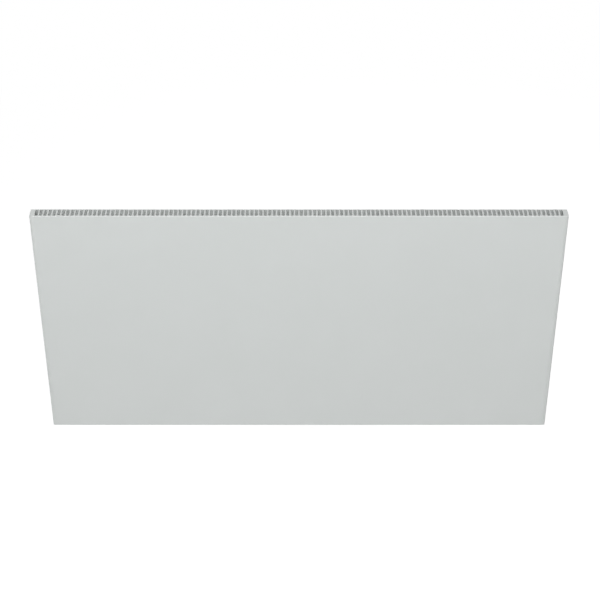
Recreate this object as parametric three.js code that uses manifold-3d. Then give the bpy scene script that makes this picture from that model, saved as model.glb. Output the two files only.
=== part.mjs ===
import * as THREE from 'three';
import { mergeVertices, toCreasedNormals } from 'three/addons/utils/BufferGeometryUtils.js';
import Module from 'manifold-3d';

// A slim infrared panel heater that hangs on a wall rail. Millimetres, +Z up.
// The wall is the plane y = 0, the radiant front faces -Y and x runs along the wall.
// The origin is the middle of the wall rail's back face.

const wasm = await Module();
wasm.setup();

// Casing: one folded and welded sheet with rolled side edges and a slotted top and bottom.
const casingWidth = 1200;
const casingHeight = 600;
const casingDepth = 30;
const casingSheet = 1;
const foldRadius = 1.5;
const sideBendRadius = 2;
const rollRadius = 20;
const rollAngle = THREE.MathUtils.degToRad(25);
const topCornerRadius = 1.5;
const bottomCornerRadius = 3;
const lipWidth = 22;
const lipCornerRadius = 2;

// Slots that let the warm air out at the top and the cool air in at the bottom.
const topSlotPitch = 10;
const slotWidth = 6.6;
const slotSideMargin = 15;
const slotFrontMargin = 3.8;
const slotBackMargin = 2;
const topSlotArcSteps = 3;
const bottomSlotPitch = 20;
const bottomSlotArcSteps = 2;

// Rear panel: a flat sheet behind the casing's lips, stiffened by pressed beads.
const rearSheet = 0.8;
const rearInset = 5;
const rearCornerRadius = 6;
const rearScrewColumns = 4;
const rearScrewSideMargin = 60;
const rearScrewInset = 15;
const beadCount = 4;
const beadFromSide = 225;
const beadLength = 360;
const beadWidth = 16;
const beadHeight = 1.5;
const beadZ = -20;
const beadArcSteps = 3;

// Wall rail and the two hooks that hang on its lip.
const wallGap = 24;
const railBelowTop = 90;
const railFromSide = 220;
const railSheet = 2;
const railPlateDrop = 28;
const railShelfRise = 20;
const railReach = 13;
const railLipRise = 14;
const railBend = 1;
const railHoleWidth = 6.5;
const railHoleLength = 14;
const railHoleFromEnd = 80;
const railHoleCount = 4;
const hangerWidth = 60;
const hangerSheet = 1.5;
const hangerFromSide = 300;
const hangerPlateDrop = 52;
const hangerBend = 1;
const hookDrop = 10.7;
const hookPlay = 0.5;
const rivetSpacing = 36;
const rivetRise = 14;

// Buffers that keep the lower edge off the wall.
const bufferFromSide = 180;
const bufferAboveBottom = 110;
const bufferBaseRadius = 15;
const bufferTipRadius = 13;
const bufferCupRadius = 6;
const bufferFloor = 5;

// Heating element and what holds it against the front.
const elementSideMargin = 50;
const elementEndMargin = 50;
const elementCornerRadius = 2;
const insulatorSheet = 0.5;
const trackSheet = 0.5;
const trackWidth = 50;
const trackPitch = 78;
const trackBend = 4;
const trackMargin = 8;
const trackGap = 22;
const trackArcSteps = 2;
const tabStrip = 24;
const tabInset = 12;
const reflectorSheet = 0.5;
const insulationThickness = 12;
const bridgeCount = 4;
const bridgeFromSide = 180;
const bridgeWidth = 30;
const bridgeSheet = 1;
const bridgeBend = 1;
const bridgeFoot = 20;

// Thermal cut-out on the bridge nearest the terminal box.
const cutoutCupRadius = 8.5;
const cutoutCupDepth = 3;
const cutoutBodyRadius = 7.5;
const cutoutBodyDepth = 4.5;
const cutoutAboveBridgeEnd = 50;
const bladeWidth = 4.8;
const bladeSheet = 0.8;
const bladeLength = 8;
const bladeSpacing = 9;
const bladeCornerRadius = 1;

// Terminal box behind the lower right corner.
const boxWidth = 110;
const boxHeight = 70;
const boxTrayDepth = 17.7;
const boxWall = 2;
const boxCoverThickness = 2.4;
const coverRecess = 1.6;
const boxCornerRadius = 5;
const boxFromSide = 110;
const boxFromBottom = 22;
const bossRadius = 4;
const bossInset = 5.8;
const boxScrewInset = 9;
const boxScrewLow = -8;
const boxScrewHigh = 22;
const blockPoleWidth = 12;
const blockPoleCount = 3;
const blockHeight = 16;
const blockDepth = 12;
const blockBaseDepth = 6;
const blockCornerRadius = 1;
const poleGap = 2.9;
const poleInset = 2;
const poleWellRadius = 2;
const poleWellDepth = 3.6;
const blockFromLeft = 12;
const blockFromTop = 12;

// Cable gland in the terminal box's underside.
const glandThreadRadius = 6;
const glandBoreRadius = 3.3;
const glandFlats = 15;
const glandHexHeight = 5;
const glandDomeHeight = 9;
const glandDomeRadius = 7.2;
const glandShoulderRadius = 6.3;
const glandShoulderDrop = 6.3;
const glandMouthWall = 1.5;
const glandThreadLength = 9;
const lockNutHeight = 3.5;
const glandNeckRadius = 5;
const glandNeckLength = 4.5;
const glandFromLeft = 25;

// Rocker switch in the same underside.
const switchFromRight = 30;
const bezelLength = 21;
const bezelWidth = 15;
const bezelThickness = 1.6;
const bezelCornerRadius = 1.5;
const switchBodyLength = 19.4;
const switchBodyWidth = 13;
const switchBodyHeight = 16;
const switchCornerRadius = 0.8;
const switchWindowLength = 17.8;
const switchWindowWidth = 11;
const switchWindowDepth = 12;
const switchWindowRadius = 0.5;
const rockerPivotDepth = 3.2;
const rockerProud = 1.4;
const rockerDish = 0.7;
const rockerSkirtRadius = 8.6;
const rockerTilt = THREE.MathUtils.degToRad(8);
const trunnionRadius = 1.2;
const trunnionLength = 0.7;
const rockerSkirtRise = 0.15;
const rockerHeelLength = 6;
const rockerHeelRise = 4.5;
const switchBladeSpacing = 10;
const switchBladeRadius = 0.3;

// Grommet, earth stud, leads and fasteners.
const grommetRadius = 6;
const grommetBore = 4.2;
const grommetFlange = 1.2;
const grommetOverhang = 2;
const leadRadius = 1.3;
const leadSides = 6;
const leadGap = 1.4;
const screwShankRadius = 1.9;
const screwHeadRadius = 3.8;
const screwHeadHeight = 2.4;
const screwLength = 9;
const rivetShankRadius = 1.85;
const rivetHeadRadius = 4;
const rivetHeadHeight = 1.4;
const headEdgeShare = 0.45;
const headCrownShare = 0.6;
const studRadius = 2;
const studLength = 14;
const studHeadRadius = 3.85;
const nutFlats = 7;
const nutHeight = 3.2;

// Room left between pieces that touch, and around shanks in their holes.
const seat = 0.3;
const clearance = 0.3;

// How finely round pieces are drawn: pins and their holes, bosses, and larger rounds.
const pinSides = 8;
const bossSides = 12;
const roundSides = 16;

// Sheets and rows that keep their distance from the casing's sides and ends.
const elementWidth = casingWidth - 2 * elementSideMargin;
const elementHeight = casingHeight - 2 * elementEndMargin;
const bridgeX = casingWidth / 2 - bridgeFromSide;
const railLength = casingWidth - 2 * railFromSide;

// Depths behind the casing's back face, where y = 0 in the heater's own frame.
const frontInside = casingSheet - casingDepth;
const frontSheetBack = frontInside + seat + insulatorSheet;
const trackBack = frontSheetBack + seat + trackSheet;
const rearSheetBack = trackBack + seat + insulatorSheet;
const reflectorBack = rearSheetBack + seat + reflectorSheet;
const insulationBack = reflectorBack + seat + insulationThickness;
const bridgeBack = insulationBack + seat + bridgeSheet;
const rearPanelBack = seat + rearSheet;
const onRearPanel = rearPanelBack + seat;
const boxFloor = onRearPanel + boxWall;
const boxTrayTop = onRearPanel + boxTrayDepth;
const boxMiddle = (boxFloor + boxTrayTop) / 2;

// Heights and places in the heater's own frame, whose z = 0 is half-way up the casing.
const heaterZ = railBelowTop - casingHeight / 2;
const railLipTop = railShelfRise + railLipRise - heaterZ;
const hookUnderside = railLipTop + seat;
const hookTopZ = hookUnderside + hangerSheet;
const bufferZ = bufferAboveBottom - casingHeight / 2;
const boxX = casingWidth / 2 - boxFromSide;
const boxZ = boxFromBottom + boxHeight / 2 - casingHeight / 2;
const boxBottom = -boxHeight / 2;
const grommetX = 27;
const grommetZ = 9;
const earthX = -5;
const earthZ = -8;
const switchX = boxWidth / 2 - switchFromRight;
const bezelTop = boxBottom - seat;
const pivotZ = bezelTop - bezelThickness + rockerPivotDepth;
const glandX = glandFromLeft - boxWidth / 2;
const blockX = blockFromLeft - boxWidth / 2;
const blockTop = boxHeight / 2 - blockFromTop;
const bridgeSpan = elementHeight / 2 + bridgeBend;
const bossPlaces = [
  [boxWidth / 2 - bossInset, bossInset - boxHeight / 2],
  [bossInset - boxWidth / 2, boxHeight / 2 - bossInset],
];
const boxScrewInside = [
  [boxScrewInset - boxWidth / 2, boxScrewLow],
  [boxWidth / 2 - boxScrewInset, boxScrewHigh],
];

const steel = { roughness: 0.42, metalness: 0.85 };
const finishes = {
  powderCoat: new THREE.MeshStandardMaterial({ color: 0xd1d6d4, roughness: 0.55, metalness: 0 }),
  galvanised: new THREE.MeshStandardMaterial({ color: 0xb6babb, ...steel }),
  zincPlate: new THREE.MeshStandardMaterial({ color: 0xc4c6c6, roughness: 0.3, metalness: 0.9 }),
  mica: new THREE.MeshStandardMaterial({ color: 0xb9a878, roughness: 0.5, metalness: 0 }),
  resistanceFoil: new THREE.MeshStandardMaterial({ color: 0x8f8a84, roughness: 0.35, metalness: 0.9 }),
  aluminium: new THREE.MeshStandardMaterial({ color: 0xd4d6d8, roughness: 0.25, metalness: 0.95 }),
  mineralWool: new THREE.MeshStandardMaterial({ color: 0xd9cf9c, roughness: 0.95, metalness: 0 }),
  greyPlastic: new THREE.MeshStandardMaterial({ color: 0x9aa0a2, roughness: 0.5, metalness: 0 }),
  whitePlastic: new THREE.MeshStandardMaterial({ color: 0xe6e6e2, roughness: 0.45, metalness: 0 }),
  blackPlastic: new THREE.MeshStandardMaterial({ color: 0x1c1d1f, roughness: 0.4, metalness: 0 }),
  rubber: new THREE.MeshStandardMaterial({ color: 0x2a2b2d, roughness: 0.85, metalness: 0 }),
  brass: new THREE.MeshStandardMaterial({ color: 0xc2a35a, roughness: 0.3, metalness: 0.95 }),
  brownLead: new THREE.MeshStandardMaterial({ color: 0x6b4226, roughness: 0.6, metalness: 0 }),
  blueLead: new THREE.MeshStandardMaterial({ color: 0x2f5d9c, roughness: 0.6, metalness: 0 }),
  earthLead: new THREE.MeshStandardMaterial({ color: 0x7fa33a, roughness: 0.6, metalness: 0 }),
};

// Turns a closed geometry into a solid that can be cut and joined.
function solid(geometry) {
  const bare = geometry.clone();
  bare.deleteAttribute('normal');
  bare.deleteAttribute('uv');
  const merged = mergeVertices(bare, 1e-4);
  return new wasm.Manifold(new wasm.Mesh({
    numProp: 3,
    vertProperties: new Float32Array(merged.attributes.position.array),
    triVerts: new Uint32Array(merged.index.array),
  }));
}

function geometryOf(body) {
  const { vertProperties, triVerts } = body.getMesh();
  const geometry = new THREE.BufferGeometry();
  geometry.setAttribute('position', new THREE.BufferAttribute(vertProperties, 3));
  geometry.setIndex(new THREE.BufferAttribute(triVerts, 1));
  return toCreasedNormals(geometry, Math.PI / 6);
}

function piece(name, body, finish, x = 0, y = 0, z = 0) {
  const mesh = new THREE.Mesh(geometryOf(body), finishes[finish].clone());
  mesh.name = name;
  mesh.position.set(x, y, z);
  return mesh;
}

function joined(bodies) {
  return bodies.reduce((whole, body) => whole.add(body));
}

function cut(body, cutters) {
  return cutters.reduce((rest, cutter) => rest.subtract(cutter), body);
}

// Extrusions: an outline in (x, y) rises along z, one in (x, z) runs back along y,
// and one in (y, z) runs along x, centred on x = 0.
function extrudeUp(outline, bottom, height, curveSegments = 2) {
  const settings = { depth: height, bevelEnabled: false, curveSegments };
  const geometry = new THREE.ExtrudeGeometry(outline, settings);
  return solid(geometry.translate(0, 0, bottom));
}

function extrudeBack(outline, front, thickness, curveSegments = 2) {
  const settings = { depth: thickness, bevelEnabled: false, curveSegments };
  const geometry = new THREE.ExtrudeGeometry(outline, settings);
  return solid(geometry.rotateX(Math.PI / 2).translate(0, front + thickness, 0));
}

function extrudeAcross(outline, length, curveSegments = 2) {
  const settings = { depth: length, bevelEnabled: false, curveSegments };
  const geometry = new THREE.ExtrudeGeometry(outline, settings);
  const turn = new THREE.Matrix4().makeBasis(
    new THREE.Vector3(0, 1, 0),
    new THREE.Vector3(0, 0, 1),
    new THREE.Vector3(1, 0, 0),
  );
  return solid(geometry.applyMatrix4(turn).translate(-length / 2, 0, 0));
}

// A round bar along y, used for shanks and for drilling.
function roundBar(radius, front, back, x = 0, z = 0, sides = bossSides) {
  const geometry = new THREE.CylinderGeometry(radius, radius, back - front, sides);
  return solid(geometry.translate(x, (front + back) / 2, z));
}

// The same bar standing upright.
function uprightBar(radius, bottom, top, x = 0, y = 0, sides = roundSides) {
  const geometry = new THREE.CylinderGeometry(radius, radius, top - bottom, sides);
  return solid(geometry.rotateX(Math.PI / 2).translate(x, y, (bottom + top) / 2));
}

function turned(profile, sides = roundSides) {
  const points = profile.map(([radius, height]) => new THREE.Vector2(radius, height));
  return solid(new THREE.LatheGeometry(points, sides));
}

function roundedRect(left, right, bottom, top, lower, upper = lower) {
  const quarter = Math.PI / 2;
  const outline = new THREE.Shape();
  outline.moveTo(left + lower, bottom);
  outline.lineTo(right - lower, bottom);
  outline.absarc(right - lower, bottom + lower, lower, -quarter, 0);
  outline.lineTo(right, top - upper);
  outline.absarc(right - upper, top - upper, upper, 0, quarter);
  outline.lineTo(left + upper, top);
  outline.absarc(left + upper, top - upper, upper, quarter, 2 * quarter);
  outline.lineTo(left, bottom + lower);
  outline.absarc(left + lower, bottom + lower, lower, 2 * quarter, 3 * quarter);
  return outline;
}

function centredRect(width, height, radius) {
  return roundedRect(-width / 2, width / 2, -height / 2, height / 2, radius);
}

// A slot with round ends that runs along v, as in (u, v).
function slotOutline(u, v, width, length, arcSteps) {
  const radius = width / 2;
  const reach = length / 2 - radius;
  const points = [];
  for (const end of [0, 1]) {
    for (let step = 0; step <= arcSteps; step += 1) {
      const angle = Math.PI * (end + step / arcSteps);
      const shift = end === 0 ? reach : -reach;
      points.push(new THREE.Vector2(u + radius * Math.cos(angle), v + shift + radius * Math.sin(angle)));
    }
  }
  return new THREE.Shape(points);
}

// The outline of a folded strip of sheet. The path is the middle line of the sheet
// with sharp corners, and bend is the inside radius of each fold.
function foldedStrip(path, sheet, bend, arcSteps = 3) {
  const corners = path.map(([u, v]) => new THREE.Vector2(u, v));
  const radius = bend + sheet / 2;
  const side = (offset) => {
    const points = [];
    const last = corners.length - 1;
    const along = corners.slice(1).map((corner, index) => corner.clone().sub(corners[index]).normalize());
    const normals = along.map((direction) => new THREE.Vector2(-direction.y, direction.x));
    points.push(corners[0].clone().addScaledVector(normals[0], offset));
    for (let index = 1; index < last; index += 1) {
      const turn = Math.atan2(along[index - 1].cross(along[index]), along[index - 1].dot(along[index]));
      const sign = Math.sign(turn);
      const centre = corners[index].clone()
        .addScaledVector(along[index - 1], -radius * Math.tan(Math.abs(turn) / 2))
        .addScaledVector(normals[index - 1], sign * radius);
      for (let step = 0; step <= arcSteps; step += 1) {
        const spoke = normals[index - 1].clone().rotateAround(new THREE.Vector2(), turn * step / arcSteps);
        points.push(centre.clone().addScaledVector(spoke, offset - sign * radius));
      }
    }
    points.push(corners[last].clone().addScaledVector(normals[last - 1], offset));
    return points;
  };
  return new THREE.Shape([...side(sheet / 2), ...side(-sheet / 2).reverse()]);
}

// Evenly spaced places from -reach to reach.
function between(count, reach) {
  return Array.from({ length: count }, (_, index) => (2 * index / (count - 1) - 1) * reach);
}

// A pan-head screw or rivet along y, its head's underside at y = 0 and its shank to the front.
function headedPin(headRadius, headHeight, shankRadius, length) {
  return turned([
    [0, -length],
    [shankRadius, -length],
    [shankRadius, 0],
    [headRadius, 0],
    [headRadius, headHeight * headEdgeShare],
    [headRadius * headCrownShare, headHeight],
    [0, headHeight],
  ], pinSides);
}

// The bars that drill one hole in a sheet at each place, with room around the shank.
function drills(places, shankRadius, front, back) {
  return places.map(([x, z]) => roundBar(shankRadius + clearance, front, back, x, z, pinSides));
}

function screw(name, x, y, z) {
  const body = headedPin(screwHeadRadius, screwHeadHeight, screwShankRadius, screwLength);
  return piece(name, body, 'zincPlate', x, y + seat, z);
}

// The casing seen from above, drawn inward by the given inset. Its sides roll gently
// out of the flat front and then bend sharply back to the wall.
function casingPlan(inset) {
  const quarter = Math.PI / 2;
  const rollEnd = rollAngle - quarter;
  const roll = rollRadius - inset;
  const bend = sideBendRadius - inset;
  const fold = foldRadius - inset;
  const side = casingWidth / 2 - inset;
  const bendX = casingWidth / 2 - sideBendRadius;
  const rollX = bendX - (rollRadius - sideBendRadius) * Math.sin(rollAngle);
  const rollY = rollRadius - casingDepth;
  const bendY = rollY - (rollRadius - sideBendRadius) * Math.cos(rollAngle);
  const outline = new THREE.Shape();
  outline.moveTo(-rollX, inset - casingDepth);
  outline.lineTo(rollX, inset - casingDepth);
  outline.absarc(rollX, rollY, roll, -quarter, rollEnd);
  outline.absarc(bendX, bendY, bend, rollEnd, 0);
  outline.lineTo(side, -foldRadius);
  outline.absarc(side - fold, -foldRadius, fold, 0, quarter);
  outline.lineTo(fold - side, -inset);
  outline.absarc(fold - side, -foldRadius, fold, quarter, 2 * quarter);
  outline.lineTo(-side, bendY);
  outline.absarc(-bendX, bendY, bend, 2 * quarter, 3 * quarter - rollAngle);
  outline.absarc(-rollX, rollY, roll, 3 * quarter - rollAngle, 3 * quarter);
  return outline;
}

// The block that three outlines share: from above, from the side and from the front.
function casingBlock(inset) {
  const halfWidth = casingWidth / 2 - inset;
  const halfHeight = casingHeight / 2 - inset;
  const lower = bottomCornerRadius - inset;
  const upper = topCornerRadius - inset;
  const fromSide = roundedRect(inset - casingDepth, -inset, -halfHeight, halfHeight, foldRadius - inset);
  const fromFront = roundedRect(-halfWidth, halfWidth, -halfHeight, halfHeight, lower, upper);
  return extrudeUp(casingPlan(inset), -halfHeight, 2 * halfHeight)
    .intersect(extrudeAcross(fromSide, 2 * halfWidth))
    .intersect(extrudeBack(fromFront, inset - casingDepth, casingDepth - 2 * inset));
}

function slotRow(pitch, arcSteps, z) {
  const length = casingDepth - slotFrontMargin - slotBackMargin;
  const y = (slotFrontMargin - slotBackMargin - casingDepth) / 2;
  const count = Math.floor((casingWidth - 2 * slotSideMargin) / pitch + 1e-6) + 1;
  const places = between(count, (count - 1) * pitch / 2);
  const outlines = places.map((x) => slotOutline(x, y, slotWidth, length, arcSteps));
  return extrudeUp(outlines, z - 2 * casingSheet, 4 * casingSheet);
}

// Where the screws go through the rear panel into the casing's lips.
function rearScrewPlaces() {
  const x = casingWidth / 2 - rearScrewInset;
  const z = casingHeight / 2 - rearScrewInset;
  const columns = between(rearScrewColumns, casingWidth / 2 - rearScrewSideMargin);
  const rows = [z, -z].flatMap((height) => columns.map((place) => [place, height]));
  return [...rows, [x, 0], [-x, 0]];
}

function frontCasing() {
  const window = centredRect(casingWidth - 2 * lipWidth, casingHeight - 2 * lipWidth, lipCornerRadius);
  const shell = cut(casingBlock(0), [
    casingBlock(casingSheet),
    extrudeBack(window, -2 * casingSheet, 3 * casingSheet),
    slotRow(topSlotPitch, topSlotArcSteps, casingHeight / 2),
    slotRow(bottomSlotPitch, bottomSlotArcSteps, -casingHeight / 2),
    ...drills(rearScrewPlaces(), screwShankRadius, -2 * casingSheet, casingSheet),
  ]);
  return piece('front_casing', shell, 'powderCoat');
}

function bead(x, width, front, back) {
  const outline = slotOutline(x, beadZ, width, beadLength - beadWidth + width, beadArcSteps);
  return extrudeBack(outline, front, back - front);
}

function rearPanel() {
  const outline = centredRect(casingWidth - 2 * rearInset, casingHeight - 2 * rearInset, rearCornerRadius);
  const places = between(beadCount, casingWidth / 2 - beadFromSide);
  const screwHoles = [...rearScrewPlaces(), ...bufferPlaces(), ...boxScrewPlaces()];
  const raised = joined([
    extrudeBack(outline, seat, rearSheet),
    ...places.map((x) => bead(x, beadWidth, seat, rearPanelBack + beadHeight)),
  ]);
  const holeBack = rearPanelBack + seat;
  const panel = cut(raised, [
    ...places.map((x) => bead(x, beadWidth - 2 * rearSheet, 0, seat + beadHeight)),
    ...drills(screwHoles, screwShankRadius, 0, holeBack),
    ...drills(rivetPlaces(), rivetShankRadius, 0, holeBack),
    ...drills([[boxX + earthX, boxZ + earthZ]], studRadius, 0, holeBack),
    roundBar(grommetRadius + clearance, 0, holeBack, boxX + grommetX, boxZ + grommetZ, roundSides),
  ]);
  return piece('rear_panel', panel, 'galvanised');
}

function rearScrews() {
  return rearScrewPlaces().map(([x, z], index) => screw(`rear_screw_${index + 1}`, x, rearPanelBack, z));
}

// The rail: a plate on the wall, a shelf and an upturned lip.
function wallRail() {
  const middle = railSheet / 2;
  const path = [
    [-middle, -railPlateDrop],
    [-middle, railShelfRise - middle],
    [middle - railReach, railShelfRise - middle],
    [middle - railReach, railShelfRise + railLipRise],
  ];
  const reach = railHoleLength / 2;
  const half = railHoleWidth / 2;
  const holes = between(railHoleCount, railLength / 2 - railHoleFromEnd).map((x) => (
    extrudeBack(roundedRect(x - reach, x + reach, -half, half, half), -2 * railSheet, 3 * railSheet)
  ));
  const rail = cut(extrudeAcross(foldedStrip(path, railSheet, railBend), railLength), holes);
  return piece('wall_rail', rail, 'galvanised');
}

function hangerPlaces() {
  return between(2, casingWidth / 2 - hangerFromSide);
}

function rivetPlaces() {
  const z = hookTopZ - hangerPlateDrop + rivetRise;
  const shifts = [-rivetSpacing / 2, rivetSpacing / 2];
  return hangerPlaces().flatMap((x) => shifts.map((shift) => [x + shift, z]));
}

// A hook: a plate on the rear panel, a shelf towards the wall and a downturned lip.
function hanger(name, x) {
  const middle = hangerSheet / 2;
  const plateY = onRearPanel + middle;
  const hookY = wallGap - railReach + railSheet + hookPlay + middle;
  const path = [
    [plateY, hookTopZ - hangerPlateDrop],
    [plateY, hookTopZ - middle],
    [hookY, hookTopZ - middle],
    [hookY, hookUnderside - hookDrop],
  ];
  const places = rivetPlaces().map(([place, z]) => [place - x, z]);
  const holes = drills(places, rivetShankRadius, 0, onRearPanel + 2 * hangerSheet);
  const body = cut(extrudeAcross(foldedStrip(path, hangerSheet, hangerBend), hangerWidth), holes);
  return piece(name, body, 'galvanised', x);
}

function hangers() {
  const [left, right] = hangerPlaces();
  const length = onRearPanel + hangerSheet + seat;
  const rivets = rivetPlaces().map(([x, z], index) => {
    const body = headedPin(rivetHeadRadius, rivetHeadHeight, rivetShankRadius, length);
    return piece(`hanger_rivet_${index + 1}`, body, 'aluminium', x, length, z);
  });
  return [hanger('hanger_left', left), hanger('hanger_right', right), ...rivets];
}

function bufferPlaces() {
  return between(2, casingWidth / 2 - bufferFromSide).map((x) => [x, bufferZ]);
}

// A tapered cup that meets the wall, with its screw's head down inside.
function buffers() {
  const length = wallGap - onRearPanel;
  const hole = screwShankRadius + clearance;
  const profile = [
    [hole, 0],
    [bufferBaseRadius, 0],
    [bufferTipRadius, length],
    [bufferCupRadius, length],
    [bufferCupRadius, bufferFloor],
    [hole, bufferFloor],
    [hole, 0],
  ];
  const names = ['left', 'right'];
  return bufferPlaces().flatMap(([x, z], index) => [
    piece(`wall_buffer_${names[index]}`, turned(profile), 'rubber', x, onRearPanel, z),
    screw(`buffer_screw_${names[index]}`, x, onRearPanel + bufferFloor, z),
  ]);
}

// The foil track starts at the lower right, runs up and down across the whole sheet
// and comes back along the bottom edge, so that both its ends lie side by side.
function trackPath() {
  const right = elementWidth / 2 - trackMargin - trackWidth / 2;
  const top = elementHeight / 2 - trackMargin - trackWidth / 2;
  const bottom = -top;
  const columns = 2 * Math.round(right / trackPitch);
  const spacing = 2 * right / (columns - 1);
  const path = [[right, trackMargin - elementHeight / 2]];
  for (let column = 0; column < columns; column += 1) {
    const x = right - column * spacing;
    const upward = column % 2 === 0;
    const low = column === columns - 1 ? bottom : bottom + trackWidth + trackGap;
    if (column > 0) path.push([x, upward ? low : top]);
    path.push([x, upward ? top : low]);
  }
  path.push([right - trackWidth / 2 - trackGap, bottom]);
  return path;
}

// Where the two leads meet the bare strip of track below the insulation.
function tabPlaces() {
  const right = elementWidth / 2 - trackMargin - trackWidth / 2;
  const z = trackMargin - elementHeight / 2 + (tabStrip - trackMargin) / 2;
  return { neutral: [right, z], live: [right - trackWidth / 2 - trackGap - tabInset, z] };
}

// A layer that leaves the strip along the element's bottom edge bare.
function shortLayer(name, finish, back, thickness) {
  const half = elementWidth / 2;
  const bottom = tabStrip - elementHeight / 2;
  const outline = roundedRect(-half, half, bottom, elementHeight / 2, elementCornerRadius);
  return piece(name, extrudeBack(outline, back - thickness, thickness, 1), finish);
}

function heatingElement() {
  const sheet = centredRect(elementWidth, elementHeight, elementCornerRadius);
  const track = foldedStrip(trackPath(), trackWidth, trackBend, trackArcSteps);
  const frontSheet = extrudeBack(sheet, frontSheetBack - insulatorSheet, insulatorSheet, 1);
  return [
    piece('element_front_sheet', frontSheet, 'mica'),
    piece('heating_track', extrudeBack(track, trackBack - trackSheet, trackSheet), 'resistanceFoil'),
    shortLayer('element_rear_sheet', 'mica', rearSheetBack, insulatorSheet),
    shortLayer('reflector_sheet', 'aluminium', reflectorBack, reflectorSheet),
    shortLayer('insulation_board', 'mineralWool', insulationBack, insulationThickness),
  ];
}

// Each bridge presses the insulation to the front and is welded to it by its two feet.
function retainingBridges() {
  const middle = bridgeSheet / 2;
  const footY = frontInside + seat + middle;
  const webY = bridgeBack - middle;
  const legZ = bridgeSpan + middle;
  const path = [
    [footY, -legZ - bridgeFoot],
    [footY, -legZ],
    [webY, -legZ],
    [webY, legZ],
    [footY, legZ],
    [footY, legZ + bridgeFoot],
  ];
  return between(bridgeCount, bridgeX).map((x, index) => {
    const body = extrudeAcross(foldedStrip(path, bridgeSheet, bridgeBend), bridgeWidth);
    return piece(`retaining_bridge_${index + 1}`, body, 'galvanised', x);
  });
}

// The cut-out's cup rests on the last bridge, and its two blades point to the side.
const cutoutX = bridgeX;
const cutoutZ = cutoutAboveBridgeEnd - bridgeSpan;
const cutoutCupBack = bridgeBack + seat + cutoutCupDepth;
const cutoutBodyFront = cutoutCupBack + seat;
const bladeY = cutoutBodyFront + cutoutBodyDepth / 2;
const bladeTip = cutoutBodyRadius + bladeLength;

function thermalCutout() {
  const cup = roundBar(cutoutCupRadius, cutoutCupBack - cutoutCupDepth, cutoutCupBack, 0, 0, roundSides);
  const blades = [-1, 1].map((side) => {
    const z = side * bladeSpacing / 2;
    const outline = roundedRect(0, bladeTip, z - bladeWidth / 2, z + bladeWidth / 2, bladeCornerRadius);
    return extrudeBack(outline, bladeY - bladeSheet / 2, bladeSheet, 1);
  });
  const bodyBack = cutoutBodyFront + cutoutBodyDepth;
  const body = roundBar(cutoutBodyRadius, cutoutBodyFront, bodyBack, 0, 0, roundSides);
  return [
    piece('cutout_cup', cup, 'aluminium', cutoutX, 0, cutoutZ),
    piece('cutout_body', joined([body, ...blades]), 'blackPlastic', cutoutX, 0, cutoutZ),
  ];
}

function boxScrewPlaces() {
  return boxScrewInside.map(([x, z]) => [boxX + x, boxZ + z]);
}

// The terminal box is an open tray on the rear panel. In the next functions
// x and z are measured from its middle.
function terminalBox() {
  const outer = centredRect(boxWidth, boxHeight, boxCornerRadius);
  const inner = centredRect(boxWidth - 2 * boxWall, boxHeight - 2 * boxWall, boxCornerRadius - boxWall);
  const hollow = extrudeBack(inner, boxFloor, boxTrayDepth);
  const tray = extrudeBack(outer, onRearPanel, boxTrayDepth).subtract(hollow);
  const bosses = bossPlaces.map(([x, z]) => roundBar(bossRadius, boxFloor - boxWall / 2, boxTrayTop, x, z));
  const switchHole = roundedRect(
    switchX - switchBodyLength / 2 - clearance,
    switchX + switchBodyLength / 2 + clearance,
    boxMiddle - switchBodyWidth / 2 - clearance,
    boxMiddle + switchBodyWidth / 2 + clearance,
    switchCornerRadius,
  );
  const floorBack = boxFloor + boxWall;
  const underside = boxBottom - boxWall;
  const body = cut(joined([tray, ...bosses]), [
    ...drills(bossPlaces, screwShankRadius, floorBack, boxTrayTop + seat),
    ...drills(boxScrewInside, screwShankRadius, 0, floorBack),
    ...drills([[earthX, earthZ]], studRadius, 0, floorBack),
    uprightBar(glandThreadRadius + clearance, underside, boxBottom + 2 * boxWall, glandX, boxMiddle),
    extrudeUp(switchHole, underside, 3 * boxWall, 1),
    roundBar(grommetRadius + clearance, 0, floorBack, grommetX, grommetZ, roundSides),
  ]);
  return piece('terminal_box', body, 'greyPlastic');
}

function terminalCover() {
  const outline = centredRect(boxWidth, boxHeight, boxCornerRadius);
  const coverBack = boxTrayTop + seat + boxCoverThickness;
  const recesses = bossPlaces.map(([x, z]) => (
    roundBar(screwHeadRadius + clearance, coverBack - coverRecess, wallGap, x, z)
  ));
  const cover = cut(extrudeBack(outline, boxTrayTop + seat, boxCoverThickness), [
    ...drills(bossPlaces, screwShankRadius, boxTrayTop, coverBack),
    ...recesses,
  ]);
  return [
    piece('terminal_cover', cover, 'greyPlastic'),
    ...bossPlaces.map(([x, z], index) => screw(`cover_screw_${index + 1}`, x, coverBack - coverRecess, z)),
    ...boxScrewInside.map(([x, z], index) => screw(`box_screw_${index + 1}`, x, boxFloor, z)),
  ];
}

// Three raised poles on one moulded block, each with its screw well.
function terminalBlock() {
  const width = blockPoleWidth * blockPoleCount;
  const bottom = blockTop - blockHeight;
  const poleTop = blockTop - poleInset;
  const front = boxFloor + seat;
  const back = front + blockDepth;
  const half = (blockPoleWidth - poleGap) / 2;
  const base = roundedRect(blockX, blockX + width, bottom, blockTop, blockCornerRadius);
  const poles = polePlaces().map((x) => {
    const outline = roundedRect(x - half, x + half, bottom + poleInset, poleTop, blockCornerRadius);
    return extrudeBack(outline, front, blockDepth, 1);
  });
  const wells = polePlaces().map((x) => (
    roundBar(poleWellRadius, back - poleWellDepth, back + seat, x, blockTop - blockHeight / 2, pinSides)
  ));
  const body = cut(joined([extrudeBack(base, front, blockBaseDepth, 1), ...poles]), wells);
  return piece('terminal_block', body, 'whitePlastic');
}

function polePlaces() {
  return Array.from({ length: blockPoleCount }, (_, index) => blockX + (index + 0.5) * blockPoleWidth);
}

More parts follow.
